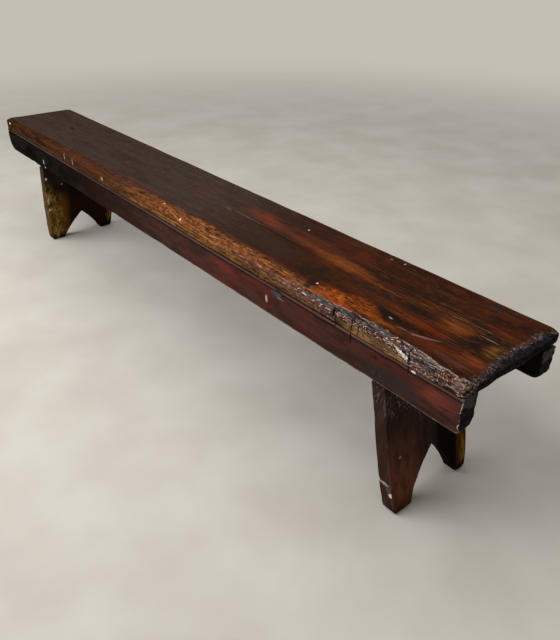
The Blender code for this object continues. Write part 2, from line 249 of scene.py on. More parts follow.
def capped(name, x, y, z, tags, middle, shrink, rough):
    """A board's skin, each end closed over rough end grain by rings that shrink to the end's middle.

    middle gives the points that the rings shrink to, from the last ring's y and z. rough is how deep the
    hollows of the end grain are, and their size along y and along z.
    """
    shrink = np.array(shrink)[:, None]
    hollow, size_y, size_z = rough
    caps = []
    for row, facing in ((0, -1), (-1, 1)):
        middle_y, middle_z = middle(y[row], z[row])
        cap_y = middle_y + (y[row] - middle_y) * shrink
        cap_z = middle_z + (z[row] - middle_z) * shrink
        cut = facing * (END_PROUD - hollow * abs(rugged(1, cap_y / size_y, cap_z / size_z)))
        caps.append(np.stack([x[row] + cut * (1 - shrink), cap_y, cap_z], axis=-1))
    grid = np.concatenate([caps[0][::-1], np.stack([x, y, z], axis=-1), caps[1]])
    on_caps = np.ones((len(shrink), y.shape[1]))
    tags = {tag: np.concatenate([on_caps * (tag == "end_grain"), field, on_caps * (tag == "end_grain")])
            for tag, field in tags.items()}
    return skin(name, grid, tags)


def outward(y, z):
    """Unit normals of a clockwise ring in the y-z plane: each chord between neighbours, turned left."""
    along_y = np.roll(y, -1, axis=1) - np.roll(y, 1, axis=1)
    along_z = np.roll(z, -1, axis=1) - np.roll(z, 1, axis=1)
    length = np.hypot(along_y, along_z) + 1e-9
    return -along_z / length, along_y / length


def stopped_nails(kind, x, across, axis):
    """1 over the head of each nail of a kind and 0 away from it: the round wax stopping in its hole."""
    stopping = np.zeros(np.broadcast(x, across).shape)
    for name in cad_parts:
        if kind(name):
            low, high = (np.array(corner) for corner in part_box(name))
            middle = (low + high) / 2
            reach = np.hypot(x - middle[0], across - middle[axis])
            stopping = np.maximum(stopping, ease(STOPPING_OUTSIDE, STOPPING_INSIDE, reach))
    return stopping


def saw_cuts(x, z):
    """1 in the saw cuts and 0 beside them: narrow flat-bottomed slots that fade at their lower end."""
    cuts = np.zeros(np.broadcast(x, z).shape)
    for place, lowest, half in SAW_CUTS:
        lean = SAW_LEAN * (SEAT_HEIGHT - z) * (place > SAW_LEAN_START)
        slot = ease(2.2, 0.8, abs(x - place - lean) / half)
        cuts = np.maximum(cuts, slot * ease(lowest - 0.004, lowest + 0.010, z))
    return cuts


def board_packing(x):
    """How closely a board's rings stand: closer towards the near end, at saw cuts and at both ends."""
    packing = 1 + 1.5 * ease(0.35, 0.72, x) + 2.5 * ease(1.12, NEAR_END, x) + 2.0 * ease(-1.12, FAR_END, x)
    for place, _, half in SAW_CUTS:
        packing = packing + 11 * np.exp(-((x - place) / (2.4 * half)) ** 2)
    return packing


def battered_edge(x, inward, z):
    """Masks of the splintered front edge near the near leg: all of it, its bevel, bare face and chip.

    The splintered part runs from a ragged line on the top over the edge and down to a line on the face,
    which slopes to the chip. The bevel is its upper part, the bare face lies under it, and the chip is a
    sliver between two lines.
    """
    waver = rugged(2, x / 0.020, inward / 0.02)
    torn = ease(0.0018, -0.0018, inward - np.interp(x, *TORN_REACH) + 0.0022 * waver)
    torn = torn * ease(0.60, 0.76, x + 0.03 * waver)
    above = ease(-0.0016, 0.0016, z - np.interp(x, *TORN_BOTTOM) + 0.0012 * waver)
    bare = (1 - above) * (inward < 0.03) * ease(0.4055, 0.4075, z)
    bare = bare * ease(0.80, 0.90, x + 0.01 * waver) * ease(1.0175, 1.0155, x)
    torn = torn * above * ease(0.404, 0.407, z)
    bevel = torn * ease(0.70, 0.76, x) * ease(0.990, 0.940, x) * ease(0.001, 0.005, inward + 0.002 * waver)
    patch = ease(1.3, 0.7, np.hypot((x - 1.058) / 0.034, (z - 0.428) / 0.010) + 0.3 * waver)
    bevel = np.maximum(bevel, 0.9 * torn * patch)
    below_top = np.interp(x, *CHIP_TOP) + 0.0012 * waver - z
    above_bottom = z - np.interp(x, *CHIP_BOTTOM) + 0.0012 * waver
    chip = ease(-0.0004, 0.0006, below_top) * ease(-0.0004, 0.0006, above_bottom)
    chip = chip * (x > 0.980) * (x < 1.0152) * (inward < 0.012)
    return torn, bevel, bare, chip


def seat_board():
    """The seat: a worn cross-section carried along x, and closed at each end over rough end grain.

    The ring runs along the underside to the front, up the front face, over a quarter ellipse as wide as
    the wear, along the top, round the rear arris and down. Wear, flakes, saw cuts and the dips of the nail
    stoppings push each point in along the ring's normal. Past each end, rings shrink to its middle.
    """
    x = packed(FAR_END, NEAR_END, SEAT_STATIONS, board_packing)[:, None]
    from_near = NEAR_END - x
    from_far = x - FAR_END
    front = corner_inset(NEAR_FRONT_CORNER, from_near) + corner_inset(FAR_FRONT_CORNER, from_far)
    front = front - half_width(x)
    rear = corner_inset(NEAR_REAR_CORNER, from_near) + corner_inset(FAR_REAR_CORNER, from_far)
    rear = half_width(x) - rear
    low = UNDERSIDE + NEAR_UNDERCUT_RISE * np.clip(1 - from_near / NEAR_UNDERCUT_LENGTH, 0, 1) ** 2
    top = SEAT_HEIGHT - NEAR_WEAR_DROP * np.clip(1 - from_near / NEAR_WEAR_LENGTH, 0, 1) ** 2
    top = top - FAR_WEAR_DROP * np.clip(1 - from_far / FAR_WEAR_LENGTH, 0, 1) ** 2
    roll = wear_width(x)
    fall = WEAR_FALL * roll
    arris = SEAT_LOWER_ARRIS

    under = np.linspace(0, 1, 8, endpoint=False)
    third = np.linspace(0, math.pi / 2, 4)[1:]
    face = np.linspace(0, 1, 15)[1:]
    rolled = np.linspace(0, math.pi / 2, 31)[1:]
    flat = np.linspace(0, 1, 58)[1:]
    quarter = np.linspace(0, math.pi / 2, 6)[1:]
    back = np.linspace(0, 1, 5)[1:]
    y = np.concatenate([rear - arris + (front - rear + 2 * arris) * under,
                        front + arris * (1 - np.sin(third)),
                        front + 0 * face,
                        front + roll * (1 - np.cos(rolled)),
                        front + roll + (rear - REAR_ARRIS - front - roll) * flat,
                        rear - REAR_ARRIS * (1 - np.sin(quarter)),
                        rear + 0 * back,
                        rear - arris * (1 - np.cos(third[:-1]))], axis=1)
    z = np.concatenate([low + 0 * under,
                        low + arris * (1 - np.cos(third)),
                        low + arris + (top - fall - low - arris) * face,
                        top - fall * (1 - np.sin(rolled)),
                        top + 0 * flat,
                        top - REAR_ARRIS * (1 - np.cos(quarter)),
                        top - REAR_ARRIS - (top - REAR_ARRIS - low - arris) * back,
                        low + arris * (1 - np.sin(third[:-1]))], axis=1)
    skew = FAR_END_SKEW * np.clip(1 - from_far / SKEW_REACH, 0, 1)
    x = x + skew * (y - front) / (rear - front)
    step = np.hypot(np.diff(y, axis=1, prepend=y[:, :1]), np.diff(z, axis=1, prepend=z[:, :1]))
    girth = np.cumsum(step, axis=1)
    inward = y - front
    upper = ease(UNDERSIDE + 0.002, UNDERSIDE + 0.008, z)

    edge = ease(0.050, 0.020, inward) * upper
    torn, bevel, ochre, chip = battered_edge(x, inward, z)
    gouges = np.clip(rugged(0, x / 0.055, girth / 0.0050) - 0.25, 0, 1)
    nicks = np.clip(rugged(3, x / 0.015, girth / 0.0034) - 0.30, 0, 1)
    splinters = np.clip(rugged(5, x / 0.026 + 17, girth / 0.0036) - 0.25, 0, 1)
    depth = 0.0006 * rugged(1, x / 0.15, y / 0.05) * upper
    depth = depth + edge * 0.0011 * rugged(2, x / 0.085, girth / 0.030)
    depth = depth + edge * 0.0005 * rugged(4, x / 0.022, girth / 0.005)
    depth = depth + torn * (0.0010 + 0.0026 * gouges + 0.0014 * nicks - 0.0012 * splinters) - 0.0008 * chip
    hole = np.hypot((x - HOLE_AT) / HOLE_HALF, inward / HOLE_REACH)
    hollow = ease(1.1, 0.5, hole + ease(0.424, 0.412, z))
    cuts = saw_cuts(x, z) * ease(0.018, 0.006, inward) * upper
    stopping = stopped_nails(lambda name: "_edge_nail_" in name or "_leg_nail_" in name, x, y, 1)
    stopping = stopping * ease(0.419, 0.424, z)
    depth = depth + HOLE_DEPTH * hollow + SEAT_SAW_DEPTH * cuts + STOPPING_DIP * stopping
    normal_y, normal_z = outward(y, z)
    y = y - normal_y * depth
    z = z - normal_z * depth

    near_rough = 0.0030 * abs(rugged(5, y / 0.030, z / 0.060)) + 0.0012 * rugged(2, y / 0.007, z / 0.020)
    x = x - ease(0.034, 0.0, NEAR_END - x) * np.clip(near_rough, 0, 0.009)
    far_rough = 0.0014 * abs(rugged(4, y / 0.035, z / 0.060))
    x = x + ease(0.020, 0.0, x - FAR_END - skew) * np.clip(far_rough, 0, 0.005)

    width = np.interp(x, *WORN_WIDTH)
    worn = ease(width + 0.022, width - 0.014, inward + 0.006 * rugged(3, x / 0.050 + 40, inward / 0.008))
    ridge = ease(0.15, 0.60, x) * ease(0.84, 0.74, x) * ease(0.013, 0.004, inward) * ease(0.423, 0.430, z)
    broken = NEAR_END - x - np.interp(y, *BROKEN_END)
    end_grain = ease(0.003, -0.003, broken + 0.005 * lumps(3, y / 0.010, z / 0.02))
    # recess: the saw cuts, the hole and the joint along the seat's lower front edge, which the coats darken
    # as dirt and painted shade
    recess = cuts + 0.9 * hollow + 0.5 * ease(0.4062, 0.4048, z) * ease(0.02, 0.01, inward)
    # hollows: the hollows of the splintered edge, which the coats paint dark as their shade
    hollows = np.clip(ease(0.10, 0.45, gouges) + 0.8 * ease(0.10, 0.40, nicks), 0, 1)
    tags = {"worn": np.maximum(worn, 0.35 * ease(0.012, 0.002, rear - y)) * upper,
            "end_grain": np.clip(end_grain + ease(0.006, 0.001, x - FAR_END - skew), 0, 1),
            "fringe": ease(0.024, 0.002, broken + 0.006 * lumps(1, y / 0.006, z / 0.02)),
            "recess": np.clip(recess, 0, 1), "torn": torn, "bevel": bevel, "ochre": ochre, "chip": chip,
            "ridge": ridge, "lip": 4 * torn * (1 - torn) * ease(0.428, 0.434, z) * ease(0.74, 0.82, x),
            "hollows": torn * hollows, "stopping": stopping}
    return capped("worn_seat_board", x, y, z, tags,
                  lambda across, up: (np.clip(across, across.min() + SEAT_END_MIDDLE,
                                              across.max() - SEAT_END_MIDDLE),
                                      (up.min() + up.max()) / 2),
                  (0.94, 0.84, 0.70, 0.52, 0.32), (0.0018, 0.009, 0.012))


def apron_board(name, side):
    """An apron: bead, quirk, flat face, eased lower arris and waney back, carried along x.

    The lower corner of each end is a quarter circle, and each end closes over rough end grain.
    """
    near_end, far_end = APRON_ENDS[side]
    near_corner, far_corner = APRON_CORNERS[side]
    x = packed(far_end, near_end, APRON_STATIONS, board_packing)[:, None]
    bottom = APRON_BOTTOM[side] + corner_inset(near_corner, near_end - x)
    bottom = bottom + corner_inset(far_corner, x - far_end)
    quirk_top = APRON_TOP - 2 * BEAD_RADIUS
    quirk_bottom = quirk_top - QUIRK_WIDTH
    arris = APRON_LOWER_ARRIS
    wane_start = APRON_THICKNESS - APRON_WANE

    face = np.linspace(0, 1, 27)
    lip = np.array([0.15, 0.6])
    quirk_floor = np.array([0.0, 1.0])
    bead = np.linspace(math.pi, 0, 13)
    round_over = np.where(bead > math.pi / 2, np.sin(bead), np.sin(bead) ** 0.45)
    top = np.linspace(0, 1, 6)[1:-1]
    inner = np.linspace(0, 1, 8)
    wane = np.linspace(0, math.pi / 2, 9)
    below = np.linspace(0, 1, 5)[1:-1]
    lower = np.linspace(0, math.pi / 2, 7)[:-1]
    inward = joined(len(x), 0 * face,
                    0.0006 + QUIRK_DEPTH * lip,
                    QUIRK_DEPTH + 0 * quirk_floor,
                    BEAD_RADIUS * (1 - round_over),
                    BEAD_RADIUS + (APRON_THICKNESS - BEAD_RADIUS) * top,
                    APRON_THICKNESS + 0 * inner,
                    APRON_THICKNESS - APRON_WANE * (1 - np.cos(wane)),
                    wane_start + (arris - wane_start) * below,
                    arris * (1 - np.sin(lower)))
    z = joined(len(x), bottom + arris + (quirk_bottom - bottom - arris) * face,
               quirk_bottom + 0.0002 * lip,
               quirk_bottom + 0.0004 + (QUIRK_WIDTH - 0.0008) * quirk_floor,
               APRON_TOP - BEAD_RADIUS * (1 - np.cos(bead)),
               APRON_TOP + 0 * top,
               APRON_TOP + (bottom + APRON_WANE - APRON_TOP) * inner,
               bottom + APRON_WANE * (1 - np.sin(wane)),
               bottom + 0 * below,
               bottom + arris * (1 - np.cos(lower)))
    x = x + 0 * z
    outer = ease(0.012, 0.006, inward)
    low_edge = ease(0.016, 0.004, z - bottom) * outer
    bead_line = ease(quirk_bottom, quirk_top, z) * outer
    depth = outer * 0.0006 * rugged(0, x / 0.20 + 5 * side, z / 0.035)
    knocks = np.clip(rugged(1, x / 0.070 + 3 * side, z / 0.05) - 0.55, 0, 1)
    depth = depth + low_edge * (0.0008 * abs(rugged(3, x / 0.050 + 9 * side, z / 0.02)) + 0.0022 * knocks)
    flaws = np.clip(rugged(2, x / 0.055 + 7 * side, z / 0.020) - 0.50, 0, 1)
    depth = depth + bead_line * (0.0003 * rugged(4, x / 0.040, z / 0.008) + 0.0022 * flaws)
    depth = depth + 0.0005 * rugged(5, x / 0.12, z / 0.02) * (1 - outer)
    cuts = saw_cuts(x, z) * ease(0.010, 0.004, inward) * (side == FRONT)
    edge = "front" if side == FRONT else "rear"
    stopping = stopped_nails(lambda nail: nail.startswith(edge) and "_joint_nail_" in nail, x, z, 2)
    stopping = stopping * outer
    depth = depth + APRON_SAW_DEPTH * cuts + STOPPING_DIP * stopping
    y = side * (half_width(x) - inward)
    normal_y, normal_z = outward(y * -side, z)
    y = y - normal_y * -side * depth
    z = z - normal_z * depth
    near_rough = 0.0020 * abs(rugged(5, y / 0.018, z / 0.024)) + 0.0010 * rugged(2, y / 0.006, z / 0.008)
    x = x - ease(0.012, 0.0, near_end - x) * np.clip(near_rough, 0, 0.006)

    end_grain = ease(0.0052, 0.0012, near_end - x + 0.003 * lumps(3, y / 0.012, z / 0.009))
    quirk = ease(quirk_bottom - 0.0006, quirk_bottom + 0.0004, z)
    quirk = quirk * ease(quirk_top + 0.0012, quirk_top - 0.0002, z)
    # The upper curve of the bead, which the coats paint lighter as a highlight where it catches the light
    crest = ease(APRON_TOP - 0.0055, APRON_TOP - 0.0035, z)
    crest = crest * ease(APRON_TOP - 0.0003, APRON_TOP - 0.0012, z)
    tags = {"arris": np.clip(low_edge * ease(0.0065, 0.003, z - bottom), 0, 1),
            "bead": bead_line, "crest": outer * crest, "inside": 1 - outer,
            "end_grain": np.clip(end_grain + ease(0.005, 0.001, x - far_end), 0, 1),
            # recess: the saw cuts and the quirk, which the coats darken as dirt and painted shade
            "recess": np.clip(cuts + outer * quirk, 0, 1), "stopping": stopping}
    return capped(name, x, y, z, tags,
                  lambda across, up: (across.mean(), np.clip(up, up.min() + APRON_END_MIDDLE,
                                                             up.max() - APRON_END_MIDDLE)),
                  (0.93, 0.82, 0.66, 0.46, 0.24), (0.0020, 0.007, 0.009))


def leg_board(name, foot_x, splay, insets, notch):
    """A leg: a rounded rectangle carried like a horseshoe from one foot over the notch to the other.

    At each step the rectangle spans from a point on the notch to a point on the outer outline, and the
    board leans along the bench in proportion to the height.
    """
    width, height, bow = notch
    toe = width / 2
    reach = LEG_THICKNESS / 2
    heights = np.array([UNDERSIDE, APRON_BOTTOM[FRONT], APRON_BOTTOM[REAR]])
    spots = foot_x - math.tan(splay) * heights
    neck = half_width(spots.min() - reach) - APRON_THICKNESS - CLEARANCE
    step = np.linspace(0, 1, LEG_STEPS)
    quarter = np.linspace(0, math.pi / 2, 12)
    share = np.linspace(0, 1, 40)[1:]
    chord = np.hypot(toe, height - TOE_RADIUS)
    arch = 4 * bow * share * (1 - share) / chord
    inner_y = np.concatenate([toe + TOE_RADIUS * (1 - np.sin(quarter)),
                              toe * (1 - share) + (height - TOE_RADIUS) * arch])
    inner_z = np.concatenate([TOE_RADIUS * (1 - np.cos(quarter)),
                              TOE_RADIUS + (height - TOE_RADIUS) * share + toe * arch])
    inner_at = np.concatenate([0.10 * quarter / quarter[-1], 0.10 + 0.90 * share])
    halves = []
    for side, inset in insets.items():
        outer = half_width(spots[0]) - inset
        shoulder = APRON_BOTTOM[side] - CLEARANCE
        outer_y = np.concatenate([outer - FOOT_ROUND_IN * (1 - np.sin(quarter)), [outer, neck, neck, 0.0]])
        outer_z = np.concatenate([FOOT_ROUND_UP * (1 - np.cos(quarter)),
                                  [shoulder, shoulder, APRON_TOP, APRON_TOP]])
        outer_at = np.concatenate([0.44 * (1 - np.cos(quarter)) * FOOT_ROUND_UP / 0.32,
                                   [0.62, 0.74, 0.86, 1.0]])
        halves.append([side * np.interp(step, outer_at, outer_y), np.interp(step, outer_at, outer_z),
                       side * np.interp(step, inner_at, inner_y), np.interp(step, inner_at, inner_z)])
    outer_y, outer_z, inner_y, inner_z = (
        np.concatenate([one, other[-2::-1]])[:, None] for one, other in zip(*halves))

    arris = LEG_ARRIS
    across = np.linspace(0, 1, 34)
    along = np.linspace(0, 1, 9)
    turn = np.linspace(0, math.pi / 2, 6)[1:-1]
    rows = len(outer_y)
    edge = arris / np.hypot(outer_y - inner_y, outer_z - inner_z)
    place = joined(rows, edge + (1 - 2 * edge) * across,
                   1 - edge * (1 - np.sin(turn)),
                   1 + 0 * along,
                   1 - edge * (1 - np.cos(turn)),
                   1 - edge - (1 - 2 * edge) * across,
                   edge * (1 - np.sin(turn)),
                   0 * along,
                   edge * (1 - np.cos(turn)))
    thick = joined(rows, -reach + 0 * across,
                   -reach + arris * (1 - np.cos(turn)),
                   -reach + arris + 2 * (reach - arris) * along,
                   reach - arris * (1 - np.sin(turn)),
                   reach + 0 * across,
                   reach - arris * (1 - np.cos(turn)),
                   reach - arris - 2 * (reach - arris) * along,
                   -reach + arris * (1 - np.sin(turn)))
    y = inner_y + (outer_y - inner_y) * place
    z = inner_z + (outer_z - inner_z) * place
    clear = ease(0.330, 0.300, z)
    waver = 0.0009 * rugged(0, z / 0.16 + foot_x, y / 0.030) + 0.0005 * rugged(3, z / 0.05, y / 0.008)
    thick = thick - np.sign(thick) * clear * waver
    eased = FOOT_EASE_IN * ease(FOOT_EASE_UP, 0.0, z)
    y = y - (y - (outer_y + inner_y) / 2) * eased / 0.030
    thick = thick * (1 - eased / reach)
    frayed = clear * ease(0.60, 1.0, abs(thick) / reach) * ease(0.95, 1.0, place)
    dents = frayed * 0.0016 * np.clip(rugged(2, z / 0.030, thick / 0.02 + foot_x), -0.2, 1)
    y = y - np.sign(y) * dents
    x = foot_x - math.tan(splay) * z + thick
    rims = np.maximum(ease(0.95, 0.99, place), ease(0.06, 0.01, place))
    tags = {"arris": ease(reach - 0.005, reach - 0.001, abs(thick)) * rims,
            "edge": ease(0.93, 0.995, place) * ease(reach + 0.001, reach - 0.004, abs(thick)) * clear}
    return skin(name, np.stack([x, y, z], axis=-1), tags)


def linear(code):
    """An sRGB hex colour as linear RGBA, by the sRGB curve."""
    parts = np.array([int(code[at:at + 2], 16) for at in (1, 3, 5)]) / 255
    light = np.where(parts <= 0.04045, parts / 12.92, ((parts + 0.055) / 1.055) ** 2.4)
    return [*light.tolist(), 1.0]


def add(tree, kind, inputs=None, **settings):
    """Add a node. Settings are its own choices, and inputs are values of sockets or what feeds them."""
    node = tree.nodes.new(kind)
    for key, value in settings.items():
        setattr(node, key, value)
    for key, value in (inputs or {}).items():
        if isinstance(value, bpy.types.NodeSocket):
            tree.links.new(value, node.inputs[key])
        else:
            node.inputs[key].default_value = value
    return node


def plain_finish(name):
    """A new material, with its node tree, its shader, and the object's own coordinates."""
    material = bpy.data.materials.new(name)
    material.use_nodes = True
    tree = material.node_tree
    return material, tree, tree.nodes["Principled BSDF"], add(tree, "ShaderNodeTexCoord").outputs["Object"]


def clouded(tree, place, millimetres, detail, limits, codes):
    """A noise of that size, and the two colours that it mixes between its limits."""
    noise = add(tree, "ShaderNodeTexNoise",
                {"Vector": place, "Scale": 1000 / millimetres, "Detail": detail}).outputs["Fac"]
    share = add(tree, "ShaderNodeMapRange",
                {"Value": noise, "From Min": limits[0], "From Max": limits[1]}).outputs["Result"]
    colour = add(tree, "ShaderNodeMix", {0: share, 6: linear(codes[0]), 7: linear(codes[1])},
                 data_type="RGBA")
    return noise, colour.outputs[2]


def overlap(tree, source, strength, words):
    """One socket that is the strength times an S curve for each source, between its two limits.

    The words are a row's rest: each source's name and limits in turn. The S curve stays within 0 and 1 by
    itself, and with its clamp on, a long table is too much for the renderer.
    """
    total = float(strength)
    for name, low, high in zip(words[0::3], words[1::3], words[2::3]):
        part = add(tree, "ShaderNodeMapRange",
                   {"Value": source(name), "From Min": float(low), "From Max": float(high)},
                   interpolation_type="SMOOTHSTEP", clamp=False).outputs["Result"]
        total = add(tree, "ShaderNodeMath", {0: part, 1: total}, operation="MULTIPLY").outputs[0]
    return total


# Sizes in millimetres of the wavers that make the outlines of marks uneven, and the least half size in
# metres of a mark whose outline takes the broad one
WAVERS = {"broad_waver": 45, "fine_waver": 7}
BROAD_MARK = 0.012
# Half size of a mark along the axis that it goes through the board in
THROUGH = 9


def mark_distance(tree, place, source, centre, half_sizes, angle=0, ragged=0.8):
    """Distance from a mark's centre as a share of its half sizes, up to 2, plus a share of a waver."""
    inside = add(tree, "ShaderNodeMapping",
                 {"Vector": place, "Location": centre, "Scale": [2 * half for half in half_sizes],
                  "Rotation": (0, 0, math.radians(angle))}, vector_type="TEXTURE").outputs[0]
    ball = add(tree, "ShaderNodeTexGradient", {"Vector": inside}, gradient_type="SPHERICAL").outputs["Fac"]
    length = add(tree, "ShaderNodeMath", {0: ball, 1: -2.0, 2: 2.0}, operation="MULTIPLY_ADD").outputs[0]
    waver = source("broad_waver" if min(half_sizes) > BROAD_MARK else "fine_waver")
    return add(tree, "ShaderNodeMath", {0: waver, 1: ragged, 2: length},
               operation="MULTIPLY_ADD").outputs[0]


def old_pine(name, board, turn, shift, sheen, figure, marks, frays, rings, coats, gloss, relief):
    """A board's finish, from tables.

    A row of coats or gloss gives a colour or a roughness, its strength, and then each source that it hangs
    on, with the two limits between which it sets in. A row of relief has a height and no strength. A source
    is an attribute of the board's mesh, or a name from the tables of figure, marks, frays or rings.
    sheen: the specular level of the wax.
    figure: noise stretched along the grain, as its length and width in millimetres and its detail.
    marks: ellipses, as centre, half sizes, turn about z in degrees, and how ragged the outline is.
    frays: a source with a share of a noise added, so its limit runs ragged along the grain.
    rings: growth rings, as a wave of a mark's distance, so many to the mark, bent by a noise.
    coats: colours laid over one another, from the ground up. gloss: roughness, likewise.
    relief: heights in millimetres that are added up for the bump.
    """
    material, tree, shader, place = plain_finish(name)
    turned = add(tree, "ShaderNodeMapping",
                 {"Vector": place, "Location": shift, "Rotation": turn}).outputs[0]
    made = {}

    def source(key):
        """The socket of a source, made when it is first asked for, because few can be held at a time."""
        if key in made:
            return made[key]
        if key in figure:
            along, across, detail = figure[key]
            stretched = add(tree, "ShaderNodeMapping",
                            {"Vector": turned, "Scale": (1000 / along, 1000 / across, 1000 / across)})
            made[key] = add(tree, "ShaderNodeTexNoise",
                            {"Vector": stretched.outputs[0], "Scale": 1.0, "Detail": detail,
                             "Roughness": 0.6, "Distortion": 0.2}).outputs["Fac"]
        elif key in board.data.attributes:
            made[key] = add(tree, "ShaderNodeAttribute", attribute_name=key).outputs["Fac"]
        elif key in WAVERS:
            noise = add(tree, "ShaderNodeTexNoise",
                        {"Vector": place, "Scale": 1000 / WAVERS[key], "Detail": 2.0}).outputs["Fac"]
            made[key] = add(tree, "ShaderNodeMath", {0: noise, 1: 0.5}, operation="SUBTRACT").outputs[0]
        elif key in marks:
            made[key] = mark_distance(tree, place, source, *marks[key])
        elif key in frays:
            base, noise, share = frays[key]
            made[key] = add(tree, "ShaderNodeMath", {0: source(noise), 1: share, 2: source(base)},
                            operation="MULTIPLY_ADD").outputs[0]
        else:
            mark, count, noise, bend = rings[key]
            bent = add(tree, "ShaderNodeMath", {0: source(noise), 1: bend},
                       operation="MULTIPLY").outputs[0]
            phase = add(tree, "ShaderNodeMath", {0: source(mark), 1: 2 * math.pi * count, 2: bent},
                        operation="MULTIPLY_ADD").outputs[0]
            made[key] = add(tree, "ShaderNodeMath", {0: phase}, operation="SINE").outputs[0]
        return made[key]

    colour = linear(coats[0])
    for row in coats[1:]:
        code, strength, *words = row.split()
        share = overlap(tree, source, strength, words)
        colour = add(tree, "ShaderNodeMix", {0: share, 6: colour, 7: linear(code)},
                     data_type="RGBA").outputs[2]
    rough = float(gloss[0])
    for row in gloss[1:]:
        value, strength, *words = row.split()
        share = overlap(tree, source, strength, words)
        rough = add(tree, "ShaderNodeMix", {0: share, 2: rough, 3: float(value)},
                    data_type="FLOAT").outputs[0]
    height = 0.0
    for row in relief:
        millimetres, *words = row.split()
        raised = overlap(tree, source, float(millimetres) / 1000, words)
        height = add(tree, "ShaderNodeMath", {0: raised, 1: height}, operation="ADD").outputs[0]
    bump = add(tree, "ShaderNodeBump", {"Height": height, "Distance": 1.0, "Strength": 1.0})
    tree.links.new(colour, shader.inputs["Base Color"])
    tree.links.new(rough, shader.inputs["Roughness"])
    tree.links.new(bump.outputs[0], shader.inputs["Normal"])
    shader.inputs["IOR"].default_value = 1.5
    shader.inputs["Specular IOR Level"].default_value = sheen
    return material


# Pine plank stained dark and waxed for generations: a dark ground with red and amber figure along the
# grain, worn to bare orange wood along the front edge, grey where the edge is splintered. The fibres of
# pine are too fine to show at this size, so the finest figure of each board is drawn 2.6 to 3 mm wide.
SEAT_FIGURE = {
    "streak": (330, 13, 3), "grain": (170, 4.5, 3), "fibre": (75, 2.6, 3), "blotch": (90, 60, 3),
    "cloud": (150, 46, 3), "pool": (95, 44, 3), "wisp": (60, 17, 4), "mottle": (26, 9, 4),
    "fleck": (36, 5.5, 3), "crumb": (14, 7, 4), "dash": (22, 2.6, 2), "sliver": (13, 3.0, 3),
    "grit": (5, 4, 2),
}
# Marks that go down through the seat: x, y, half sizes along them, and if needed their turn and raggedness
TOP_MARKS = {
    "ring": (0.962, 0.016, 0.112, 0.11, 0, 0.12),
    "growth_form": (0.95, -0.012, 0.33, 0.046, -1, 0.3),
    "knot_form": (0.235, 0.044, 0.046, 0.024),
    "ring_dark": (0.915, -0.0765, 0.05, 0.012, -4),
    "ring_spot": (0.857, -0.018, 0.013, 0.01, -30),
    "heart": (0.942, -0.014, 0.064, 0.018),
    "heart_rust": (0.925, -0.05, 0.062, 0.015),
    "heart_glow": (1.02, -0.01, 0.06, 0.03),
    "heart_red": (0.985, -0.052, 0.06, 0.013),
    "heart_brown": (0.96, 0.026, 0.08, 0.014),
    "dark_pool": (0.672, -0.062, 0.09, 0.036),
    "brown_shade": (0.48, -0.048, 0.17, 0.046),
    "side_shade": (0.79, -0.03, 0.06, 0.022),
    "glow_1": (0.69, 0.015, 0.15, 0.026, -1),
    "glow_2": (0.52, 0.024, 0.13, 0.024),
    "patch_1": (0.78, -0.102, 0.07, 0.022),
    "patch_2": (0.845, -0.092, 0.06, 0.026, -8),
    "patch_edge": (0.785, -0.119, 0.066, 0.013),
    "orange_tail": (0.905, -0.107, 0.08, 0.012),
    "edge_streak": (0.645, -0.106, 0.055, 0.0045),
    "ochre_patch": (1.118, -0.024, 0.024, 0.034),
    "end_shade": (1.086, -0.036, 0.022, 0.034),
    "red_knot": (1.088, -0.06, 0.012, 0.012),
    "brick_end": (1.118, -0.078, 0.036, 0.02),
    "purple_edge": (1.095, -0.106, 0.07, 0.011),
    "red_edge": (1.04, -0.096, 0.09, 0.018),
    "rear_olive": (0.915, 0.1, 0.058, 0.012),
    "rear_blue": (1.03, 0.117, 0.022, 0.01, -30),
    "rear_rust": (1.05, 0.104, 0.06, 0.02),
    "rear_red": (0.92, 0.118, 0.04, 0.01),
    "red_glow": (0.35, 0.042, 0.105, 0.03, -4),
    "red_smudge": (0.095, -0.003, 0.045, 0.008),
    "red_spot": (0.085, 0.07, 0.03, 0.014),
    "edge_stain": (0.7, -0.106, 0.017, 0.03, 12),
    "nail_mark_1": (-0.038, -0.1185, 0.019, 0.008),
    "nail_mark_2": (0.309, -0.119, 0.014, 0.007),
    "blue_mark": (-0.178, -0.122, 0.034, 0.014),
    "far_mark": (-0.835, 0.016, 0.03, 0.008, -10),
    "mid_mark": (-0.17, 0.045, 0.03, 0.008),
    "chalk_smudge": (0.228, 0.008, 0.024, 0.008, -8),
    "crack": (0.43, 0.0035, 0.185, 0.0026, -1.6),
    "crack_lip": (0.31, 0.0105, 0.09, 0.003, -1.2),
    "gold_line": (0.82, 0, 0.08, 0.0022),
    "pale_line": (1.058, 0.027, 0.085, 0.0018),
    "pale_line_2": (0.955, 0.018, 0.088, 0.0015, 7),
    "pale_line_3": (1.1, 0.0045, 0.038, 0.0015, -1.5),
    "fleck_1": (0.482, 0.082, 0.0034, 0.0026),
    "fleck_2": (0.735, 0.12, 0.004, 0.0026),
    "fleck_3": (0.773, 0.124, 0.0026, 0.005),
    "fleck_4": (0.712, -0.096, 0.0028, 0.003),
    "fleck_5": (0.915, -0.08, 0.0085, 0.0034, -12),
    "fleck_7": (0.08, -0.112, 0.004, 0.0026, 20),
}
SEAT_MARKS = {name: ((x, y, SEAT_HEIGHT), (half_x, half_y, THROUGH), *rest)
              for name, (x, y, half_x, half_y, *rest) in TOP_MARKS.items()}
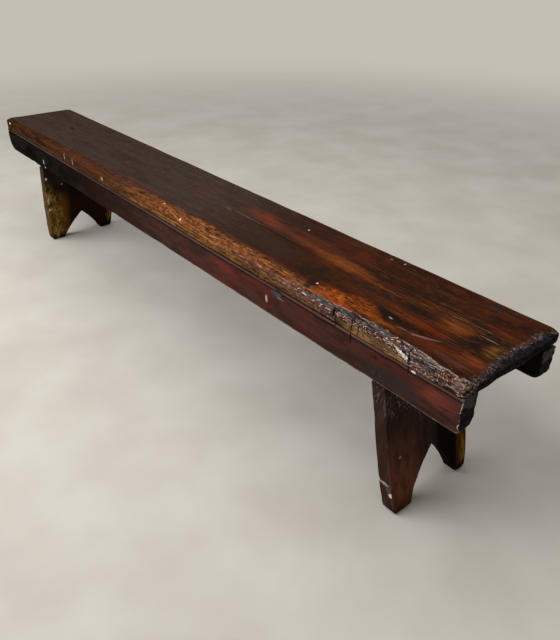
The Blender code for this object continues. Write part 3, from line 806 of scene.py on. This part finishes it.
SEAT_MARKS.update({
    "fleck_6": ((0.2, -0.134, 0.438), (0.004, 0.0034, THROUGH)),
    # A trail of white flecks above the chip, partly painted glints
    "chip_tail": ((0.97, -0.14, 0.4315), (0.022, 0.03, 0.0052)),
    "scratch_1": ((-0.56, -0.137, 0.425), (0.0028, 0.05, 0.015)),
    "scratch_2": ((-0.495, -0.137, 0.421), (0.0028, 0.05, 0.015)),
    "scratch_3": ((-0.268, -0.137, 0.424), (0.01, 0.05, 0.01)),
    "far_spot": ((-1.098, -0.125, 0.433), (0.012, 0.02, 0.005)),
})
SEAT_FRAYS = {"frayed": ("worn", "fleck", 0.9), "patch_1_frayed": ("patch_1", "fibre", 1.2),
              "patch_2_frayed": ("patch_2", "fibre", 1.2), "heart_frayed": ("heart", "grain", 1.6),
              "glow_1_frayed": ("glow_1", "grain", 1.4), "pool_frayed": ("dark_pool", "streak", 1.6)}
SEAT_RINGS = {"growth": ("growth_form", 6.0, "wisp", 6.0), "whorl": ("knot_form", 2.5, "wisp", 4.0)}
# The ground's colour, then rows of a colour, its strength, and each source with its two limits
SEAT_COATS = (
    "#291006",
    # Towards the far end the ground turns grey-brown: a painted reflection of the pale surround in the wax
    "#362b26 1 x .55 0",
    "#44332c .45 x .6 .1 streak .46 .64",
    "#271c17 .45 x .6 .1 cloud .5 .66",
    "#2a201b .32 x .6 .35 mottle .53 .64",
    "#523e34 .25 x .6 .35 mottle .45 .36",
    "#25150f .35 grain .47 .36",
    "#55301f .28 fibre .54 .66",
    "#552a1f .55 x -.05 .25 x .75 .5 y -.005 .02 y .085 .055 cloud .36 .6",
    "#70301f .75 red_glow 1.2 .1 cloud .3 .54",
    "#56291f .6 red_smudge 1.1 .2",
    "#4c241c .6 red_spot 1.1 .2",
    "#50250a .48 x .45 .7 cloud .4 .64",
    "#241407 .75 x .5 .75 pool .54 .34",
    "#4e1d0d .5 x .46 .76 blotch .48 .64",
    "#5a2c10 .28 x .5 .78 streak .5 .64",
    "#1a0e06 .3 x .56 .8 streak .47 .35",
    "#160b05 .34 x .56 .8 grain .45 .36",
    "#1a130a .7 x .76 .92 y .1 .06 y -.1 -.08 blotch .5 .38",
    "#2e221b .7 brown_shade 1.1 .2",
    "#1f160d .9 pool_frayed 1.85 .95",
    "#2a1a0e .6 side_shade 1.1 .2",
    "#5a2f1a .65 glow_2 1.1 .1 streak .34 .56",
    "#733d16 .9 glow_1_frayed 1.75 .85",
    "#3c2010 .6 glow_1 1.1 .3 fibre .46 .36",
    "#7c380c .95 patch_1_frayed 1.7 1.2",
    "#70300b .95 patch_2_frayed 1.7 1.2",
    "#bb621c .85 patch_1 1.1 .5 mottle .46 .6",
    "#a3561c .7 patch_2 1 .5 fibre .52 .64",
    "#331306 .85 patch_1 1.2 .7 sliver .53 .6",
    "#48200a .7 patch_1 1.2 .7 crumb .49 .4",
    "#2c1006 .9 patch_2 1.2 .7 sliver .51 .58",
    "#7a3f10 .85 orange_tail 1.1 .3 mottle .62 .44",
    "#9a5a1e .8 edge_streak 1.1 .3",
    "#5b2c10 .5 heart_brown 1.1 .2 grain .36 .54",
    "#7c3e0e .75 heart_glow 1.2 .1 fibre .34 .56",
    "#7c2c0e .75 heart_red 1.2 .1 fibre .36 .56",
    "#7c3d0e .65 heart_rust 1.2 .2 grain .34 .54",
    "#18130c .92 heart_frayed 2 1.1",
    "#15130a .9 rear_olive 1.2 .3 grain .3 .46",
    "#5a2a0d .48 rear_rust 1.1 .2 grain .38 .56",
    "#1f1f26 .75 rear_blue 1.1 .3",
    "#5c2010 .55 rear_red 1.2 .1",
    "#15110a .85 end_shade 1.15 .3 mottle .3 .5",
    "#6e4a1c .8 ochre_patch 1.1 .2 mottle .38 .54",
    "#4c1810 .85 red_knot 1 .4",
    "#7a3a1c .8 brick_end 1.2 .2 fibre .34 .54",
    "#582312 .8 red_edge 1.2 .2 fibre .3 .52",
    "#4a2c2a .75 purple_edge 1.2 .2 fleck .34 .52",
    "#110704 .6 x .3 .7 dash .57 .66",
    "#7d4a26 .26 x .4 .75 dash .4 .33",
    "#1d1f26 .85 ring_spot 1.15 .4 crumb .28 .44",
    "#211817 .6 ring .86 .97 ring 1.13 1.02 x .925 .895 y .04 0 mottle .42 .56",
    "#100e0a .9 ring_dark 1.15 .3 crumb .3 .46",
    "#17130f .82 ring .82 .965 ring 1.16 1.03 x 1.02 1.055 y .05 .015 mottle .36 .54",
    # A pale arc on the ring's lower edge: chalky residue with a painted highlight
    "#8d786b .48 ring .962 .986 ring 1.026 1.004 y -.055 -.072 x .935 .95 x 1.05 1.01 wisp .46 .56",
    "#6b4430 .3 growth .55 .95 growth_form .15 .35 growth_form 1.25 .85 x .78 .88 wisp .4 .58",
    "#1a0f08 .35 growth -.4 -.9 growth_form 1.3 .9 x .74 .86",
    "#8a5626 .55 gold_line 1 .3 fleck .36 .52",
    "#8a6a58 .6 pale_line 1 .3 fleck .44 .58",
    "#9a6c4c .5 pale_line_2 1 .3 fleck .44 .56",
    "#a98c80 .65 pale_line_3 1 .3 fleck .38 .52",
    "#875538 .45 fibre .57 .66 y -.012 .004 y .06 .036 x .86 .94",
    "#241915 .6 whorl .1 .8 knot_form 1.25 .85",
    "#17100d .8 far_mark 1.1 .3",
    "#241a17 .6 mid_mark 1.1 .3",
    "#7d5a48 .62 crack_lip 1 .3 fleck .36 .52",
    "#120a08 .95 crack 1 .5",
    "#6a5042 .6 chalk_smudge 1.1 .3 fibre .4 .56",
    "#4a241a .75 worn .02 .45 x -1 -.5 x .76 .66",
    "#28150a .9 worn .05 .5 x -.45 -.75",
    "#4d2c0f .75 frayed .75 1.1 x -.35 -.7 pool .42 .56",
    "#4b2d20 .92 frayed .7 1 x -.8 -.45 x .77 .69",
    "#5a2f0d .75 frayed .8 1.1 x -.85 -.45 x .8 .72 pool .44 .58",
    "#6c3c22 .78 frayed .8 1.15 x -.25 .15 x .8 .72 wisp .34 .54",
    "#935322 .62 frayed .85 1.2 x -.35 .2 x .8 .72 grain .46 .6",
    "#c2824a .5 frayed .95 1.3 x -.05 .3 x .76 .7 fibre .53 .64",
    "#472d16 .7 worn .6 .95 z .432 .42 x -.95 -.4 x .8 .6",
    "#7d551f .65 worn .6 .95 z .432 .422 x -.6 .05 x .72 .54 wisp .38 .58",
    "#ab7a3c .62 worn .6 .95 z .43 .42 x -.3 .15 x .72 .54 grain .48 .6",
    "#563c33 .75 worn .6 .95 z .432 .426 x .52 .66 mottle .36 .52",
    "#7a5a28 .36 worn .6 .95 z .419 .4125 x -1.15 -1.1 x -.5 -.7 wisp .36 .52",
    "#26140d .7 worn .3 .7 grain .47 .37",
    "#2b1812 .6 worn .3 .7 fibre .46 .37",
    "#37251f .6 worn .3 .7 blotch .53 .64 wisp .36 .54",
    "#2a1b17 .45 worn .25 .65 x -.2 .1 mottle .58 .67",
    "#371c12 .8 worn .05 .3 worn 1.05 .82 x -.8 -.5 x .74 .64 mottle .46 .56",
    "#2b1910 .62 worn .3 .7 x -.8 -.45 x .74 .6 crumb .5 .41",
    "#c07c40 .42 worn .5 .9 x -.25 .25 x .72 .58 fleck .53 .63",
    "#33200f .38 worn .4 .8 x -.8 -.45 x .74 .6 sliver .55 .63",
    "#b4581c .5 worn .5 .85 z .43 .436 x -.2 .1 x .72 .58 crumb .56 .65",
    # Pale pinkish flecks on the rubbed band: bare fibres, and painted glints
    "#b0907f .45 worn .6 1 x -.2 .3 sliver .61 .7",
    "#6b5249 .7 worn .6 .95 z .437 .431 x .58 .7 x .86 .8 crumb .46 .58",
    "#b69486 .6 worn .6 .95 z .437 .431 x .6 .72 x .86 .8 grit .59 .65",
    # Along the ridge of the front arris, pale flecks that are bare fibres and painted glints
    "#6d4a3a .65 ridge .2 .8 x .34 .58 mottle .42 .56",
    "#b08d80 .6 ridge .3 .9 grit .56 .64",
    "#38281f .75 ridge .2 .7 x .3 .54 fleck .54 .44",
    "#9a4716 .8 patch_edge 1.15 .5 mottle .34 .52",
    "#4a200b .65 patch_edge 1.15 .5 crumb .48 .4",
    "#624834 .95 ochre .3 .7",
    "#96724a .7 ochre .3 .7 mottle .43 .58",
    "#a8733f .5 ochre .3 .7 x .94 .9 fleck .5 .6",
    "#2f2114 .8 ochre .3 .7 sliver .52 .62",
    "#4a3a20 .55 ochre .3 .7 crumb .5 .4",
    "#53372c .95 torn .3 .7",
    "#7a4a30 .7 torn .3 .7 fleck .5 .62",
    "#4a3832 .65 torn .3 .7 x .98 1.02 wisp .54 .42",
    "#8a6f64 .8 torn .3 .7 x 1 1.04 mottle .43 .57",
    "#a5604a .55 torn .3 .7 x 1 1.04 fleck .55 .63",
    "#62636a .8 torn .3 .7 x .98 1.03 blotch .4 .52 crumb .45 .57",
    "#271915 .75 torn .3 .7 fleck .45 .36",
    "#231714 .65 torn .3 .7 sliver .45 .38",
    "#4b474b .85 bevel .3 .7 mottle .64 .5",
    "#2c2726 .75 bevel .3 .7 fleck .46 .36",
    "#7d5a44 .5 bevel .3 .7 fibre .58 .68",
    # Pale flecks on the splintered edge: bare fibres, and painted glints
    "#cbaa9b .5 torn .3 .7 bevel .8 .3 sliver .58 .66",
    "#dcc6bb .85 torn .3 .7 bevel .8 .3 grit .58 .635",
    "#9a9496 .75 bevel .3 .7 sliver .56 .66",
    # Painted shade in the hollows of the splintered edge
    "#120c0a .85 hollows .3 .9",
    # A painted highlight along the lip of the splintered edge
    "#ae978d .7 lip .4 .9 crumb .38 .52",
    # White flecks trailing from the chip: split fibres, boosted as painted glints
    "#e2dad2 .9 chip_tail 1.1 .5 sliver .49 .57",
    "#2e2628 .8 blue_mark 1.15 .3 crumb .4 .54",
    "#0f1013 .92 nail_mark_1 1.05 .4",
    "#1b1512 .85 nail_mark_2 1 .4",
    "#17130f .85 edge_stain 1.15 .3 crumb .3 .46",
    "#17100c .4 stopping .3 .8",
    "#362a2a .85 fringe .2 .7 crumb .44 .56",
    # Pale flecks on the broken near end: frayed fibres and painted highlights
    "#6e605c .6 fringe .4 .9 sliver .55 .63",
    "#8c8078 .65 fringe .3 .9 grit .58 .64",
    "#18191b .95 end_grain .25 .7",
    "#37373a .65 end_grain .25 .7 crumb .5 .62",
    "#56524f .55 end_grain .25 .7 grit .59 .68",
    # Pale dots along the arris of the ends: frayed fibres and painted highlights
    "#7d7067 .6 end_grain .06 .25 end_grain .8 .5 grit .56 .64 x .9 1",
    # Saw cuts, the hole and the joint below the front edge, darkened as dirt and painted shade
    "#0b0706 .95 recess .2 .7",
    "#2b1f17 1 z .4075 .4055 y -.133 -.127 y .133 .127",
    "#17100c .6 z .4075 .4055 y -.133 -.127 y .133 .127 grain .5 .38",
    "#d0b48c .7 scratch_1 1.1 .4",
    "#d2ba96 .7 scratch_2 1.1 .4",
    "#c6a878 .6 scratch_3 1.1 .4 crumb .36 .5",
    "#ded8cd .9 fleck_1 1 .6",
    "#9a8a80 .7 fleck_2 1 .5",
    "#b8a69c .75 fleck_3 1 .5",
    "#d8d0c6 .9 fleck_4 1 .7",
    "#9da5a5 .8 fleck_5 1 .3",
    "#d9d2c6 .85 fleck_6 1 .7",
    "#c9c0b2 .75 fleck_7 1 .7",
    "#f3f0ea .97 chip .3 .7",
    "#8a7868 .85 chip .3 .7 sliver .51 .58",
    "#4a3a32 .8 chip .3 .7 grit .58 .64",
    "#efebe4 .95 far_spot 1 .75",
)
SEAT_GLOSS = (
    ".4",
    ".5 .8 blotch .4 .65",
    ".46 .9 worn .3 .8",
    ".88 1 x .2 -.5",
    ".85 1 end_grain .3 .7",
    ".9 1 recess .3 .8",
)
SEAT_RELIEF = (
    ".2 grain .3 .7",
    ".14 fibre .3 .7",
    ".3 worn .3 .8 mottle .3 .7",
    ".25 worn .3 .8 sliver .3 .7",
    ".5 torn .3 .7 sliver .34 .66",
    ".6 torn .3 .7 crumb .34 .66",
    "1.2 end_grain .3 .8 grit .3 .7",
)

# Pine apron under thick oxblood stain and wax: even and glossy, nearly black at the far end, redder towards
# the near end, rubbed grey along the lower arris, with painted highlights on that arris and on the bead's
# top.
APRON_FIGURE = {
    "streak": (300, 14, 3), "grain": (150, 5, 3), "blotch": (110, 50, 3), "wisp": (70, 22, 4),
    "fibre": (60, 2.6, 3), "grit": (9, 6, 2), "crumb": (18, 10, 3), "mottle": (14, 8, 3),
}
# Marks on the front apron's face: x, z, and half sizes along them
FACE_MARKS = {
    "grey_smudge": (0.975, 0.352, 0.11, 0.026),
    "smudge_line": (0.945, 0.345, 0.02, 0.002),
    "red_glow": (0.41, 0.375, 0.07, 0.016),
    "near_glow": (1.09, 0.372, 0.07, 0.022),
    "flake": (0.624, 0.391, 0.019, 0.008),
    "flake_line": (0.637, 0.3825, 0.016, 0.0016),
    "flake_shade": (0.63, 0.399, 0.015, 0.0045),
    "white_streak": (0.585, 0.361, 0.0055, 0.013),
    "drip_1": (-0.787, 0.35, 0.0045, 0.013),
    "drip_2": (-0.779, 0.332, 0.005, 0.005),
    "bead_chip": (1.034, 0.4, 0.008, 0.003),
}
APRON_FACE = -0.14
APRON_MARKS = {name: ((x, APRON_FACE, z), (half_x, THROUGH, half_z))
               for name, (x, z, half_x, half_z) in FACE_MARKS.items()}
APRON_FRAYS = {"flake_frayed": ("flake", "crumb", 1.6), "chip_frayed": ("bead_chip", "mottle", 1.2)}
APRON_COATS = (
    "#070403",
    "#3b241f 1 x -.75 .45",
    "#4e2c26 .65 x -.5 .4 wisp .42 .58",
    "#231613 .3 wisp .5 .38",
    "#5c2219 .5 x -.3 .4 blotch .5 .62 fibre .36 .56",
    "#1c1210 .3 fibre .46 .36",
    "#7c2a1c .6 red_glow 1.2 .2 wisp .34 .54",
    "#79392d .8 near_glow 1.2 .2 fibre .3 .52",
    "#98503d .5 near_glow .9 .2 grain .5 .62",
    "#2f2827 .85 grey_smudge 1.3 .2 wisp .26 .46",
    "#4a4542 .6 smudge_line 1.1 .3",
    "#33231f .75 bead .4 .9",
    "#573a34 .7 bead .4 .9 x -.2 .4",
    # Painted highlight along the upper curve of the bead
    "#5a463f .36 crest .3 .9 x -1.1 -.6",
    "#7a665d .28 crest .4 .9 grain .46 .6",
    # The lower arris: rubbed grey, and paler still as a painted highlight of the light from the floor
    "#5d4d48 .75 arris .3 .9 x -.3 .4",
    "#93857d .6 arris .5 1 x .1 .5 grit .5 .62",
    "#120b09 .5 stopping .3 .8",
    # The inner face: unstained dark wood, painted nearly black as the shade between the aprons
    "#0d0806 .95 inside .2 .6",
    "#1d140f .5 inside .2 .6 streak .44 .6",
    "#1a1b1d .95 end_grain .3 .7",
    "#423e3d .55 end_grain .3 .7 crumb .52 .64",
    "#57504c .8 end_grain .3 .7 x 1 1.1 z .372 .386 crumb .36 .5",
    # Pale dots along the arris of the near end: frayed fibres and painted highlights
    "#c2b4aa .9 end_grain .05 .25 end_grain .85 .55 x 1 1.1 inside .5 .2 grit .46 .54",
    # Saw cuts and the quirk, darkened as dirt and painted shade
    "#1f1411 .5 recess .2 .8",
    "#434a4c .92 flake_frayed 1.8 1.5",
    "#9a8f86 .7 flake_line 1.1 .3",
    "#14110f .9 flake_shade 1 .6",
    "#b8a99f .8 white_streak 1 .5",
    "#c9c4bf .85 drip_1 1 .6",
    "#bdb7b2 .8 drip_2 1 .6",
    "#e8e2da .9 chip_frayed 1.6 1.3",
)
APRON_GLOSS = (
    ".38",
    ".95 1 x .3 -.4",
    ".5 .8 blotch .4 .62",
    ".62 .8 arris .3 .8",
    ".85 1 end_grain .3 .7",
    ".9 1 recess .3 .8",
)
APRON_RELIEF = (
    ".22 grain .3 .7",
    ".25 crumb .35 .7",
    "1.2 end_grain .3 .8 grit .3 .7",
)

# Pine leg stained dark brown: scuffed on its front edge, rubbed to orange at the foot, with old paint.
LEG_FIGURE = {
    "streak": (240, 14, 3), "grain": (130, 5, 3), "blotch": (80, 50, 3), "fibre": (26, 3, 3),
    "mesh": (12, 6, 3), "crumb": (18, 10, 3),
}
NEAR_LEG_MARKS = {
    "scuff": ((0.955, -0.12, 0.285), (0.06, 0.045, 0.045)),
    "paint_line": ((0.99, -0.135, 0.079), (0.022, 0.03, 0.0052)),
    "paint_start": ((0.974, -0.138, 0.083), (0.01, 0.03, 0.005)),
    "paint_spot": ((1.016, -0.134, 0.055), (0.01, 0.03, 0.0075)),
    "purple_patch": ((1.008, -0.138, 0.067), (0.013, 0.03, 0.01)),
    "speck_1": ((1, -0.106, 0.14), (0.02, 0.004, 0.004)),
    "web_1": ((0.975, -0.08, 0.27), (0.05, 0.06, 0.045)),
    "web_2": ((0.985, -0.04, 0.23), (0.05, 0.018, 0.05)),
}
NEAR_LEG_FRAYS = {"line_frayed": ("paint_line", "crumb", 1.6),
                  "purple_frayed": ("purple_patch", "crumb", 1.4)}
NEAR_LEG_COATS = (
    "#281916",
    "#3b2520 .6 streak .36 .66",
    "#1d110c .22 blotch .5 .7",
    "#1f120c .18 grain .46 .34",
    "#6b3d27 .85 z .26 .06 y -.02 -.07 streak .12 .62",
    "#30201b .85 edge .3 .8",
    "#47302a .55 edge .3 .8 streak .44 .62",
    "#5f4a43 .65 arris .3 .9 y -.09 -.11 streak .36 .56",
    "#746a66 .65 scuff 1.1 .3 fibre .54 .64",
    "#8b827e .65 web_1 1.1 .3 mesh .57 .67",
    "#8b827e .45 web_2 1.1 .3 mesh .6 .7",
    "#584a50 .8 purple_frayed 1.7 1.3 edge .3 .8",
    "#aaa29c .85 line_frayed 1.75 1.25 edge .2 .7",
    "#b9b1aa .8 paint_start 1 .5 edge .2 .7",
    "#e2dcd3 .95 paint_spot 1 .7 edge .1 .5",
    "#9a938c .8 speck_1 1 .5",
    # Nearly black on the rear half below the notch's height: painted shade under the bench
    "#0d0705 .92 y -.005 .03 z .24 .18",
    "#4a2b0c .95 y .079 .087 z .004 .02 z .3 .24",
    "#93681f .7 y .092 .104 z .01 .03 z .28 .22 streak .4 .56",
    "#140b05 .8 y .079 .085 z .3 .24 grain .46 .4",
    "#1f1611 .8 z .04 .008 blotch .34 .54",
    "#17110d .75 z .014 .003",
)
NEAR_LEG_GLOSS = (
    ".42",
    ".6 .8 blotch .4 .6",
    ".7 .8 edge .3 .8",
    ".95 1 y 0 .03",
)
NEAR_LEG_RELIEF = (
    ".3 grain .3 .7",
    ".3 crumb .4 .7",
)

# Pine leg whose stain has washed away: bare yellow wood with black pits, darker stain left where the seat
# shelters it, and painted shade, nearly black, under the seat and apron and behind the front foot.
FAR_LEG_MARKS = {
    "drip_1": ((-0.812, -0.134, 0.276), (0.03, 0.005, 0.007)),
    "drip_2": ((-0.832, -0.134, 0.182), (0.03, 0.004, 0.02)),
    "drip_3": ((-0.84, -0.133, 0.141), (0.03, 0.005, 0.008)),
    "grey_spot": ((-0.817, -0.074, 0.242), (0.03, 0.005, 0.005)),
    "rear_patch": ((-0.88, 0.122, 0.055), (0.05, 0.02, 0.055)),
}
FAR_LEG_COATS = (
    "#6a4c1d",
    "#a08042 .75 streak .46 .62",
    "#41290e .75 streak .46 .34",
    "#8f6d34 .5 grain .54 .64",
    "#120a05 .9 grain .45 .39 y -.062 -.085",
    "#120b05 .85 blotch .54 .64 crumb .5 .6 z .15 .09",
    # Darker towards the notch and nearly black behind the front foot: painted shade under the bench
    "#5a3310 .85 y -.098 -.072",
    "#1a0c05 .95 y -.078 -.04",
    # Nearly black towards the top: painted shade under the seat and apron, over the darker stain left there
    "#120a05 .95 z .15 .23 y -.122 -.1",
    "#1d1208 .85 z .2 .26 y -.138 -.122",
    "#2c241a .85 z .21 .28 grain .3 .46",
    "#21150b .8 z .24 .3",
    "#7a5a22 .85 rear_patch 1 .6 grain .4 .56",
    "#382b1c .88 edge .3 .8 y 0 -.1",
    "#8a7450 .6 edge .3 .8 crumb .54 .62 y 0 -.1 z .27 .2",
    "#1d150b .88 z .044 .008 blotch .32 .5",
    "#e6dccb .9 drip_1 1 .5",
    "#c8bca8 .8 drip_2 1 .5 crumb .42 .52",
    "#e8dabb .9 drip_3 1 .5",
    "#8d8a86 .7 grey_spot 1 .5",
)
FAR_LEG_GLOSS = (
    ".58",
    ".72 .8 blotch .4 .6",
    ".45 .8 z .22 .29",
)
FAR_LEG_RELIEF = (
    ".45 grain .3 .7",
    ".8 crumb .66 .54",
)


def rusted_iron():
    """Wrought cut nail, rusted brown-black: dull metal under a crust that is lighter where rubbed.

    Grains of rust are too fine to show, so the crust is drawn in grains of 2.5 mm.
    """
    material, tree, shader, place = plain_finish("rusted_wrought_iron")
    crust, colour = clouded(tree, place, 2.5, 3.0, (0.40, 0.62), ("#1c1614", "#4a3024"))
    bump = add(tree, "ShaderNodeBump", {"Height": crust, "Distance": 0.0004, "Strength": 0.8})
    tree.links.new(colour, shader.inputs["Base Color"])
    tree.links.new(bump.outputs[0], shader.inputs["Normal"])
    shader.inputs["Metallic"].default_value = 0.5
    shader.inputs["Roughness"].default_value = 0.62
    return material


def dress(board, node, material):
    """Give a board its finish, and let it ride on the bench in place of its CAD node."""
    board.data.materials.append(material)
    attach(board, "root")
    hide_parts(node)


def make_bench():
    """Build the five boards, finish them, and finish the nails.

    The figure of each board is shifted to a place of its own in the noise, and turned to run up a leg.
    """
    flat = (0.0, 0.0, 0.0)
    seat = seat_board()
    dress(seat, "seat_board",
          old_pine("waxed_dark_stained_pine", seat, flat, flat, 0.015, SEAT_FIGURE, SEAT_MARKS, SEAT_FRAYS,
                   SEAT_RINGS, SEAT_COATS, SEAT_GLOSS, SEAT_RELIEF))
    front = apron_board("front_apron_board", FRONT)
    dress(front, "front_apron",
          old_pine("oxblood_stained_pine", front, flat, (0.37, 0.11, 0.07), 0.02, APRON_FIGURE, APRON_MARKS,
                   APRON_FRAYS, {}, APRON_COATS, APRON_GLOSS, APRON_RELIEF))
    rear = apron_board("rear_apron_board", REAR)
    local = set(APRON_MARKS) | set(APRON_FRAYS)
    unmarked = [row for row in APRON_COATS if not local & set(row.split()[2::3])]
    dress(rear, "rear_apron",
          old_pine("oxblood_stained_pine_rear", rear, flat, (0.91, 0.23, 0.31), 0.02, APRON_FIGURE,
                   {}, {}, {}, unmarked, APRON_GLOSS, APRON_RELIEF))
    near_leg = leg_board("near_leg_board", NEAR_FOOT, NEAR_SPLAY, NEAR_INSETS, NEAR_NOTCH)
    upright = (0, math.pi / 2 - NEAR_SPLAY, 0)
    dress(near_leg, "near_leg",
          old_pine("brown_stained_pine", near_leg, upright, (0.2, 0.4, 0.1), 0.03, LEG_FIGURE,
                   NEAR_LEG_MARKS, NEAR_LEG_FRAYS, {}, NEAR_LEG_COATS, NEAR_LEG_GLOSS, NEAR_LEG_RELIEF))
    far_leg = leg_board("far_leg_board", FAR_FOOT, FAR_SPLAY, FAR_INSETS, FAR_NOTCH)
    upright = (0, math.pi / 2 - FAR_SPLAY, 0)
    dress(far_leg, "far_leg",
          old_pine("washed_bare_pine", far_leg, upright, (0.6, 0.2, 0.5), 0.03, LEG_FIGURE,
                   FAR_LEG_MARKS, {}, {}, FAR_LEG_COATS, FAR_LEG_GLOSS, FAR_LEG_RELIEF))
    iron = rusted_iron()
    for name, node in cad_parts.items():
        if "nail" in name:
            node.data.materials.clear()
            node.data.materials.append(iron)


BACKDROP = "#c4beb5"
FLOOR_REACH = 30


def seen_directly(tree):
    """1 for rays from the camera and from mirrors or clear surfaces, and 0 for those that carry light."""
    ray = add(tree, "ShaderNodeLightPath").outputs
    seen = ray["Is Camera Ray"]
    for kind in ("Is Glossy Ray", "Is Transmission Ray"):
        seen = add(tree, "ShaderNodeMath", {0: seen, 1: ray[kind]}, operation="MAXIMUM").outputs[0]
    return seen


def pale_concrete():
    """Trowelled concrete floor: pale warm grey, faintly clouded, and as pale where no lamp reaches."""
    material, tree, shader, place = plain_finish("pale_concrete")
    _, colour = clouded(tree, place, 260, 5.0, (0.35, 0.65), ("#bdb7ae", "#c9c4bb"))
    tree.links.new(colour, shader.inputs["Base Color"])
    shader.inputs["Roughness"].default_value = 0.85
    reach = add(tree, "ShaderNodeVectorMath", {0: place}, operation="LENGTH").outputs["Value"]
    far = add(tree, "ShaderNodeMapRange", {"Value": reach, "From Min": 1.8, "From Max": 5.0},
              interpolation_type="SMOOTHSTEP").outputs["Result"]
    weight = add(tree, "ShaderNodeMath", {0: seen_directly(tree), 1: far}, operation="MULTIPLY").outputs[0]
    plain = add(tree, "ShaderNodeEmission", {"Color": linear(BACKDROP), "Strength": 1.0}).outputs[0]
    either = add(tree, "ShaderNodeMixShader", {0: weight, 1: shader.outputs[0], 2: plain}).outputs[0]
    tree.links.new(either, tree.nodes["Material Output"].inputs["Surface"])
    return material


def make_stage():
    """A plain pale floor, soft light from above and from the front, and the photograph's camera."""
    mesh = bpy.data.meshes.new("floor")
    corners = [(-FLOOR_REACH, -FLOOR_REACH, 0), (FLOOR_REACH, -FLOOR_REACH, 0),
               (FLOOR_REACH, FLOOR_REACH, 0), (-FLOOR_REACH, FLOOR_REACH, 0)]
    mesh.from_pydata(corners, [], [(0, 1, 2, 3)])
    mesh.materials.append(pale_concrete())
    ground = bpy.data.objects.new("floor", mesh)
    bpy.context.scene.collection.objects.link(ground)

    world = bpy.data.worlds.new("soft_sky")
    bpy.context.scene.world = world
    world.use_nodes = True
    tree = world.node_tree
    light = tree.nodes["Background"]
    light.inputs["Color"].default_value = linear("#f6f4f1")
    light.inputs["Strength"].default_value = 0.30
    backdrop = add(tree, "ShaderNodeBackground", {"Color": linear(BACKDROP), "Strength": 1.0})
    either = add(tree, "ShaderNodeMixShader",
                 {0: seen_directly(tree), 1: light.outputs[0], 2: backdrop.outputs[0]})
    tree.links.new(either.outputs[0], tree.nodes["World Output"].inputs["Surface"])

    for name, size, energy, place, aim in (
            ("key_softbox", (3.0, 2.0), 120.0, (-0.9, -2.3, 2.9), (41, 0, -21)),
            ("overhead_softbox", (4.0, 3.0), 50.0, (0.3, 0.2, 3.4), (0, 0, 0))):
        lamp = bpy.data.lights.new(name, "AREA")
        lamp.shape = "RECTANGLE"
        lamp.size, lamp.size_y = size
        lamp.energy = energy
        softbox = bpy.data.objects.new(name, lamp)
        softbox.location = place
        softbox.rotation_euler = [math.radians(angle) for angle in aim]
        bpy.context.scene.collection.objects.link(softbox)

    lens = bpy.data.cameras.new("photo_camera")
    lens.lens = 36.295
    lens.sensor_width = 36.0
    camera = bpy.data.objects.new("photo_camera", lens)
    camera.location = (1.63653, -0.95066, 1.11473)
    camera.rotation_euler = [math.radians(angle) for angle in (58.501, 0.120, 50.923)]
    bpy.context.scene.collection.objects.link(camera)
    bpy.context.scene.camera = camera
    bpy.context.scene.view_settings.view_transform = "Standard"


make_bench()
make_stage()
